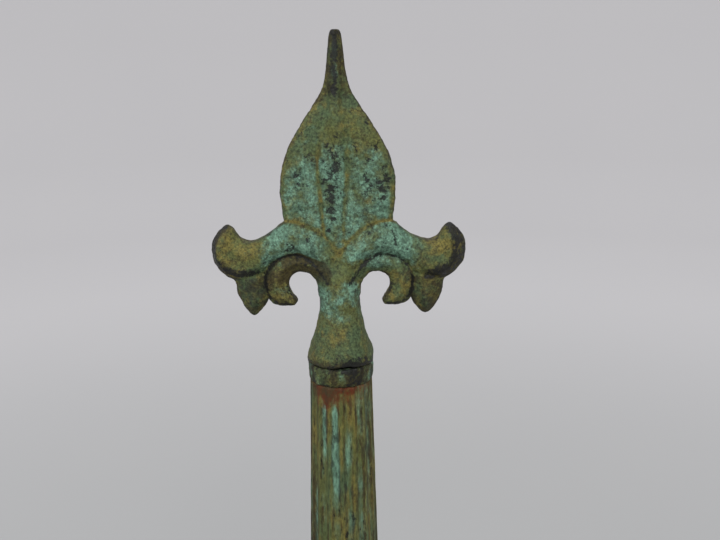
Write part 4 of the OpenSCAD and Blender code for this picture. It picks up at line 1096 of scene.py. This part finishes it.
class SIGNAL_OT_post(bpy.types.Operator):
    """Make the tapering fluted post"""

    bl_idname = "signal.post"
    bl_label = "Fluted post"

    def execute(self, context):
        s = context.scene.signal_post
        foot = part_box("fluted_post")[1].x
        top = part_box("finial_collar")[1].x - 0.00065
        sizes = {
            "Foot radius": foot, "Top radius": top, "Foot height": SHOE_TOP - 0.002,
            "Top height": COLLAR_LOW, "Flutes": float(s.flutes), "Flute depth": s.flute_depth,
            "Wear": s.wear, "Points round": 16 * s.flutes + 1, "Points up": 300,
        }
        piece = grow("fluted_column", post_tree(post_patina()), sizes)
        inner = [(top - 0.003, COLLAR_LOW), (foot - 0.005, SHOE_TOP - 0.002)]
        close_tube(piece, inner)
        co = np.array([v.co for v in piece.data.vertices]) / MM
        drop = COLLAR_LOW / MM - co[:, 2]
        a = np.degrees(np.arctan2(co[:, 0], -co[:, 1]))
        left_stripe = bell(a + 33.75, 5) * ease(drop, 7, 10) * ease(drop, 34, 25)
        mid_stripe = bell(a + 11.25, 5) * ease(drop, 7, 11) * ease(drop, 48, 38)
        low_stripe = bell(a + 11.25, 5) * ease(drop, 56, 60) * 0.5
        side = ease(np.abs(a), 48, 70)
        bloom = -0.06 + 0.7 * left_stripe + 0.95 * mid_stripe + 0.6 * low_stripe + 0.15 * side
        rust_front = bell(a + 26, 25) + 0.35 * bell(a - 26, 26) + 0.45 * bell(a - 150, 40)
        masks = {
            "bloom": bloom, "rust": (0.25 + rust_front) * ease(drop, 10 + 6 * rust_front, -2) * 1.3,
            "tarnish": 0.02 + 0.1 * bell(a - 20, 10) * ease(drop, 50, 20), "grime_and_shade": 0.05 + 0.1 * side,
            "tone_and_painted_light": 0.84 - 0.05 * side - 0.12 * ease(drop, 4, 0) - 0.06 * ease(drop, 26, 40),
        }
        for name, values in masks.items():
            put_attribute(piece.data, name, values)
        lay_piece(piece, "root", "weathered_post", "fluted_post")
        return {"FINISHED"}


def close_tube(piece, inner):
    """Adds an inner wall, (radius, height) from top to foot, to an open tube about Z."""
    bm = bmesh.new()
    bm.from_mesh(piece.data)
    flute = bm.verts.layers.float.get("flute")
    open_edges = [e for e in bm.edges if e.is_boundary]
    top = max(v.co.z for v in bm.verts)
    high = [e for e in open_edges if e.verts[0].co.z > top - 1e-5]
    low = [e for e in open_edges if e.verts[0].co.z < top - 1e-2]
    rings = []
    for edges, (radius, height) in zip((high, low), inner):
        made = bmesh.ops.extrude_edge_only(bm, edges=edges)["geom"]
        verts = [g for g in made if isinstance(g, bmesh.types.BMVert)]
        for v in verts:
            v.co.xy = v.co.xy.normalized() * radius
            v.co.z = height
        rings.append([g for g in made if isinstance(g, bmesh.types.BMEdge) and g.is_boundary])
    bmesh.ops.bridge_loops(bm, edges=rings[0] + rings[1])
    bmesh.ops.recalc_face_normals(bm, faces=bm.faces)
    for face in bm.faces:
        face.smooth = True
    bm.to_mesh(piece.data)
    bm.free()


# ---- Fasteners ----

HEXAGON, SQUARE, NUT, SHANK = range(4)
SEAM = 1e-4  # of a unit shape


def by_row(f, row, values):
    """A number that is given for each row."""
    result = 0.0
    for number, value in enumerate(values):
        result = f.maths("MULTIPLY_ADD", f.maths("COMPARE", row, number, 0.4), value, result)
    return result


def prism(f, corners, hole, chamfer):
    """A head or nut one unit tall with its corners one unit from its axis."""
    rows = 7 if hole else 6
    mesh, turn, climb = wrapped_grid(f, 25, rows)
    row = climb * (rows - 1)
    angle = turn * (2 * math.pi)
    part = 2 * math.pi / corners
    flat = math.cos(part / 2)
    side = flat / f.maths("COSINE", f.maths("FLOORED_MODULO", angle, part) - part / 2)
    drop = (side - flat) / (1 - flat) * chamfer
    radius = by_row(f, row, [hole, flat, side, side, flat, hole, hole])
    height = by_row(f, row, [0.0, 0.0, drop, 1 - drop, 1.0, 1.0, 0.0])
    return wrap(f, mesh, angle, radius, height, SEAM)


def threaded_rod(f, turns, depth):
    """A shank one unit long and one unit in radius with a thread wound up it."""
    rows = 77
    mesh, turn, climb = wrapped_grid(f, 15, rows)
    row = climb * (rows - 1)
    climb = f.maths("MINIMUM", f.maths("MAXIMUM", (row - 2) / (rows - 5), 0), 1)
    ridge = f.maths("ABSOLUTE", f.maths("FRACT", climb * turns - turn) * 2 - 1)
    radius = 1 - ridge * depth
    near_end = f.maths("COMPARE", row, 1, 0.4) + f.maths("COMPARE", row, rows - 2, 0.4)
    radius = radius - near_end * (radius - 0.78)
    at_end = f.maths("LESS_THAN", row, 0.5) + f.maths("GREATER_THAN", row, rows - 1.5)
    return wrap(f, mesh, turn * (2 * math.pi), radius * (1 - at_end), climb, SEAM)


def fastener_tree(material):
    """Heads, nuts and threaded shanks on points that carry their axis, kind, radius and length."""
    f = Shape("fasteners")
    chamfer = f.size("Chamfer", 0.16)
    turns = f.size("Thread turns", 18.0)
    depth = f.size("Thread depth", 0.16)

    def stored(name, data_type="FLOAT"):
        return f.wire("GeometryNodeInputNamedAttribute", {"Name": name}, data_type=data_type)

    spin = f.wire("FunctionNodeEulerToRotation", {0: f.point(0, 0, stored("spin"))})
    aim = f.wire("FunctionNodeAlignRotationToVector", {"Vector": stored("axis", "FLOAT_VECTOR")}, axis="Z")
    turned_so = f.wire("FunctionNodeRotateRotation", {0: aim, 1: spin}, rotation_space="LOCAL")
    scale = f.point(stored("reach"), stored("reach"), stored("tall"))
    shapes = (prism(f, 6, 0.0, chamfer), prism(f, 4, 0.0, chamfer), prism(f, 6, 0.45, chamfer))
    together = f.node("GeometryNodeJoinGeometry")
    for kind, shape in enumerate((*shapes, threaded_rod(f, turns, depth))):
        chosen = f.maths("COMPARE", stored("kind"), kind, 0.1)
        inputs = {"Points": Wire(f, f.start.outputs["Geometry"]), "Selection": chosen, "Instance": shape}
        inputs |= {"Rotation": turned_so, "Scale": scale}
        f.feed(together.inputs[0], f.wire("GeometryNodeInstanceOnPoints", inputs))
    f.finish(Wire(f, together.outputs[0]), material)
    return f


def fastener_places(nodes):
    """Point, axis, kind, radius and length of each head, nut and shank in the model's fastener nodes."""
    places = []
    for node in nodes:
        bm = merged_copy(node)
        for island in islands(bm):
            area = {}
            for face in {face for vert in island for face in vert.link_faces}:
                way = np.array(face.normal)
                way *= 1 if way[np.argmax(np.abs(way))] > 0 else -1
                key = tuple(np.round(way, 3) + 0.0)
                area[key] = area.get(key, 0) + face.calc_area()
            axis = np.array(max(area, key=area.get))
            axis /= np.linalg.norm(axis)
            co = np.array([v.co for v in island])
            along = co @ axis
            flat = co - np.outer(along, axis)
            middle = (flat.max(0) + flat.min(0)) / 2
            far = np.linalg.norm(flat - middle, axis=1)
            reach = far.max()
            wide = far > 0.9 * reach
            low, high = along[wide].min(), along[wide].max()
            if far.min() > 0.9 * reach:
                places.append((middle + axis * along.min(), axis, SHANK, reach, along.max() - along.min()))
                continue
            if along.min() > low - 2e-5 and along.max() < high + 2e-5:
                places.append((middle + axis * low, axis, NUT, reach, high - low))
                continue
            if along.max() > high + 2e-5:
                axis, along, low, high = -axis, -along, -high, -low
            corners = len({tuple(np.round(p * 2000)) for p in flat[wide]})
            shank = far[along < low - 2e-5].max()
            places.append((middle + axis * low, axis, SQUARE if corners == 4 else HEXAGON, reach, high - low))
            places.append((middle + axis * along.min(), axis, SHANK, shank, low - along.min() + 2e-4))
        bm.free()
    return places


FASTENERS = {
    "post_fasteners": ("root", [
        "shoe_bolts", "post_set_screws", "clamp_bolts", "clamp_nuts", "danger_stop_screw", "danger_stop_nut",
        "lamp_bracket_screw", "lamp_bracket_nut", "spindle_nuts", "tie_rod_nut",
    ]),
    "arm_fasteners": ("arm", ["arm_bolts", "arm_nuts"]),
    "rod_lock_nut_pair": ("rod", ["rod_lock_nuts"]),
    "weight_screw": ("lever", ["weight_set_screw"]),
}


class SIGNAL_OT_fasteners(bpy.types.Operator):
    """Make the bolts, nuts and set screws"""

    bl_idname = "signal.fasteners"
    bl_label = "Fasteners"

    def execute(self, context):
        s = context.scene.signal_fasteners
        sizes = {"Chamfer": s.chamfer, "Thread turns": float(s.turns), "Thread depth": s.thread}
        tree = fastener_tree(rusty_screws())
        draw = np.random.default_rng(11)
        for name, (body, nodes) in FASTENERS.items():
            points, axes, kinds, reaches, talls = zip(*fastener_places(nodes))
            spins = draw.uniform(0, 1.0, len(points))
            numbers = {"kind": kinds, "reach": reaches, "tall": talls, "spin": spins}
            piece = grow(name, tree, sizes, points, numbers, np.array(axes, np.float32))
            face_outwards(piece.data)
            piece.data.set_sharp_from_angle(angle=math.radians(32))
            lay_piece(piece, body, "rusty_fastener", *nodes)
            print(name, len(points), "points", len(piece.data.polygons), "faces")
        return {"FINISHED"}


# ---- Castings and the finishes of the rest ----

# Each casting's name here, its body, the model's node and the size of its mesh cells in millimetres
CASTINGS = [
    ("base_casting", "root", "base_plate", 0.6),
    ("shoe_casting", "root", "column_shoe", 0.62),
    ("arm_bracket_casting", "root", "arm_bracket", 0.5),
    ("arm_strap_casting", "root", "arm_bracket_strap", 0.5),
    ("lever_bracket_casting", "root", "lever_bracket", 0.5),
    ("lever_strap_casting", "root", "lever_bracket_strap", 0.5),
    ("lamp_bracket_casting", "root", "lamp_bracket", 0.45),
    ("spectacle_casting", "arm", "spectacle", 0.4),
    ("balance_lever_forging", "lever", "balance_lever", 0.4),
    ("balance_weight_casting", "lever", "balance_weight", 0.4),
]


def sand_cast(name, node, cell):
    """A copy of a node with softened edges and the slight unevenness of a sand casting."""
    bm = merged_copy(node)
    mesh = bpy.data.meshes.new(name)
    bm.to_mesh(mesh)
    bm.free()
    piece = put_object(name, mesh)
    remesh = piece.modifiers.new("cells", "REMESH")
    remesh.mode = "VOXEL"
    remesh.voxel_size = cell * MM
    remesh.use_smooth_shade = True
    soften = piece.modifiers.new("soften", "SMOOTH")
    soften.factor = 0.5
    soften.iterations = 3
    bake_modifiers(piece)
    return piece


class SIGNAL_OT_castings(bpy.types.Operator):
    """Make the sand-cast brackets, straps, shoe, base, spectacle and weight"""

    bl_idname = "signal.castings"
    bl_label = "Castings"

    def execute(self, context):
        iron = ironwork()
        for name, body, node, cell in CASTINGS:
            piece = sand_cast(name, node, cell)
            piece.data.materials.clear()
            piece.data.materials.append(iron)
            lay_piece(piece, body, "cast_iron", node)
            print(name, 2 * len(piece.data.polygons), "triangles")
        paint_nodes(iron, "rod_eyes")
        return {"FINISHED"}


def paint_nodes(material, *nodes):
    for node in nodes:
        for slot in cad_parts[node].material_slots:
            slot.material = material


class SIGNAL_OT_finishes(bpy.types.Operator):
    """Finish the arm, glasses, rods, pins, brasses and lamp"""

    bl_idname = "signal.finishes"
    bl_label = "Finishes"

    def execute(self, context):
        s = context.scene.signal_arm
        paint_nodes(
            oiled_steel(), "tie_rod", "tie_rod_washer", "arm_spindle", "lever_spindle", "spindle_washers",
            "split_pins", "arm_crank_pin", "arm_pin_washer", "down_rod", "lever_crank_pin",
            "lever_pin_washer",
        )
        paint_nodes(
            old_brass(), "arm_bush", "lever_bush", "glass_rings", "lamp_lens_barrel", "lamp_font",
            "lamp_burner", "door_knob", "door_hinge_pin",
        )
        paint_nodes(lamp_paint(), "lamp_case", "lamp_roof", "lamp_handle", "lamp_door")
        paint_nodes(arm_enamel(), "arm_blade")
        paint_nodes(cast_glass("red_signal_glass", s.red_glass, 0.5), "red_glass")
        paint_nodes(cast_glass("green_signal_glass", s.green_glass, 0.5), "green_glass")
        paint_nodes(cast_glass("clear_lamp_glass", s.clear_glass, 0.8), "lamp_lens", "back_light_glass")
        return {"FINISHED"}


# ---- The stage ----


# The floor that curves up into a backdrop, as (radius, height) in metres
FLOOR = [
    (0, -0.012), (1.7, -0.012), (2.6, -0.012), (3.1, 0.2), (3.25, 0.7), (3.25, 3.2), (3.2, 3.2), (3.2, 0.71),
    (3.05, 0.23), (2.6, 0.0), (1.7, 0), (0.8, 0), (0, 0),
]
# Name, place, aim, size, power and colour of each light
LIGHTS = (
    ("key", (0.27, -1.36, 1.7), (0, 0, 0.45), 0.5, 22, (1, 0.985, 0.96)),
    ("fill", (-1.5, -0.5, 1.3), (0, 0, 0.45), 1.0, 8, (0.97, 0.99, 1)),
    ("back", (0.2, 1.6, 1.9), (0, 0, 0.4), 1.4, 6, (1, 1, 1)),
)
CAMERA_PLACE = (0.008, -0.2996, 0.5805)
LOOK_DOWN = 14  # degrees
ROLL = -0.7


class SIGNAL_OT_stage(bpy.types.Operator):
    """Make the pale floor, the backdrop, the lights and the camera"""

    bl_idname = "signal.stage"
    bl_label = "Stage"

    def execute(self, context):
        f = Finish("studio_paper")
        x, y, z = f.split(f.place)
        tint = f.mix(f.noise(700, 2), shade(132, 133, 134), shade(138, 138, 138))
        far = f.maths("SQRT", x * x + y * y)
        glow = f.mix(f.step(far, 500, 1900), shade(122, 122, 122), shade(158, 156, 158))
        paper = f.surface(tint, 0.85, Specular_IOR_Level=0.1, Emission_Strength=1, Emission_Color=glow)
        floor = turned("studio_floor", FLOOR, 96, paper)
        face_outwards(floor.data)
        context.scene.world = world = bpy.data.worlds.new("studio_air")
        world.use_nodes = True
        air = world.node_tree.nodes["Background"].inputs
        air["Color"].default_value = (*shade(226, 229, 233), 1)
        air["Strength"].default_value = 1.0
        for name, place, aim, size, power, tint in LIGHTS:
            light = bpy.data.lights.new(name, "AREA")
            light.shape = "DISK"
            light.size = size
            light.energy = power
            light.color = tint
            lamp = put_object(name, light)
            lamp.location = place
            lamp.rotation_mode = "QUATERNION"
            lamp.rotation_quaternion = (Vector(place) - Vector(aim)).to_track_quat("Z", "Y")
        data = bpy.data.cameras.new("photographer")
        data.sensor_width = 36
        data.lens = 40
        data.clip_start = 0.02
        data.clip_end = 30
        context.scene.camera = camera = put_object("photographer", data)
        look_down = Matrix.Rotation(math.radians(90 - LOOK_DOWN), 4, "X")
        roll = Matrix.Rotation(math.radians(ROLL), 4, "Z")
        camera.matrix_world = Matrix.Translation(CAMERA_PLACE) @ look_down @ roll
        context.scene.view_settings.view_transform = "Standard"
        return {"FINISHED"}


# ---- Panel, registration and the run ----

OPERATORS = (
    SIGNAL_OT_stage, SIGNAL_OT_finial, SIGNAL_OT_collar, SIGNAL_OT_post, SIGNAL_OT_fasteners,
    SIGNAL_OT_castings, SIGNAL_OT_finishes,
)
SETTINGS = {
    "signal_patina": PatinaSettings,
    "signal_finial": FinialSettings,
    "signal_post": PostSettings,
    "signal_metal": MetalSettings,
    "signal_arm": ArmSettings,
    "signal_fasteners": FastenerSettings,
}


class SIGNAL_PT_panel(bpy.types.Panel):
    """Lists the signal's pieces"""

    bl_idname = "SIGNAL_PT_panel"
    bl_label = "Semaphore signal"
    bl_space_type = "VIEW_3D"
    bl_region_type = "UI"
    bl_category = "Signal"

    def draw(self, context):
        for name, group in SETTINGS.items():
            box = self.layout.box()
            box.label(text=group.__doc__)
            for key in group.__annotations__:
                box.prop(getattr(context.scene, name), key)
        for operator in OPERATORS:
            self.layout.operator(operator.bl_idname)


def register():
    for cls in (*SETTINGS.values(), *OPERATORS, SIGNAL_PT_panel):
        bpy.utils.register_class(cls)
    for name, group in SETTINGS.items():
        setattr(bpy.types.Scene, name, bpy.props.PointerProperty(type=group))


def unregister():
    for name in SETTINGS:
        delattr(bpy.types.Scene, name)
    for cls in reversed((*SETTINGS.values(), *OPERATORS, SIGNAL_PT_panel)):
        bpy.utils.unregister_class(cls)


def main():
    register()
    for operator in OPERATORS:
        group, name = operator.bl_idname.split(".")
        getattr(getattr(bpy.ops, group), name)()


if __name__ == "__main__":
    main()
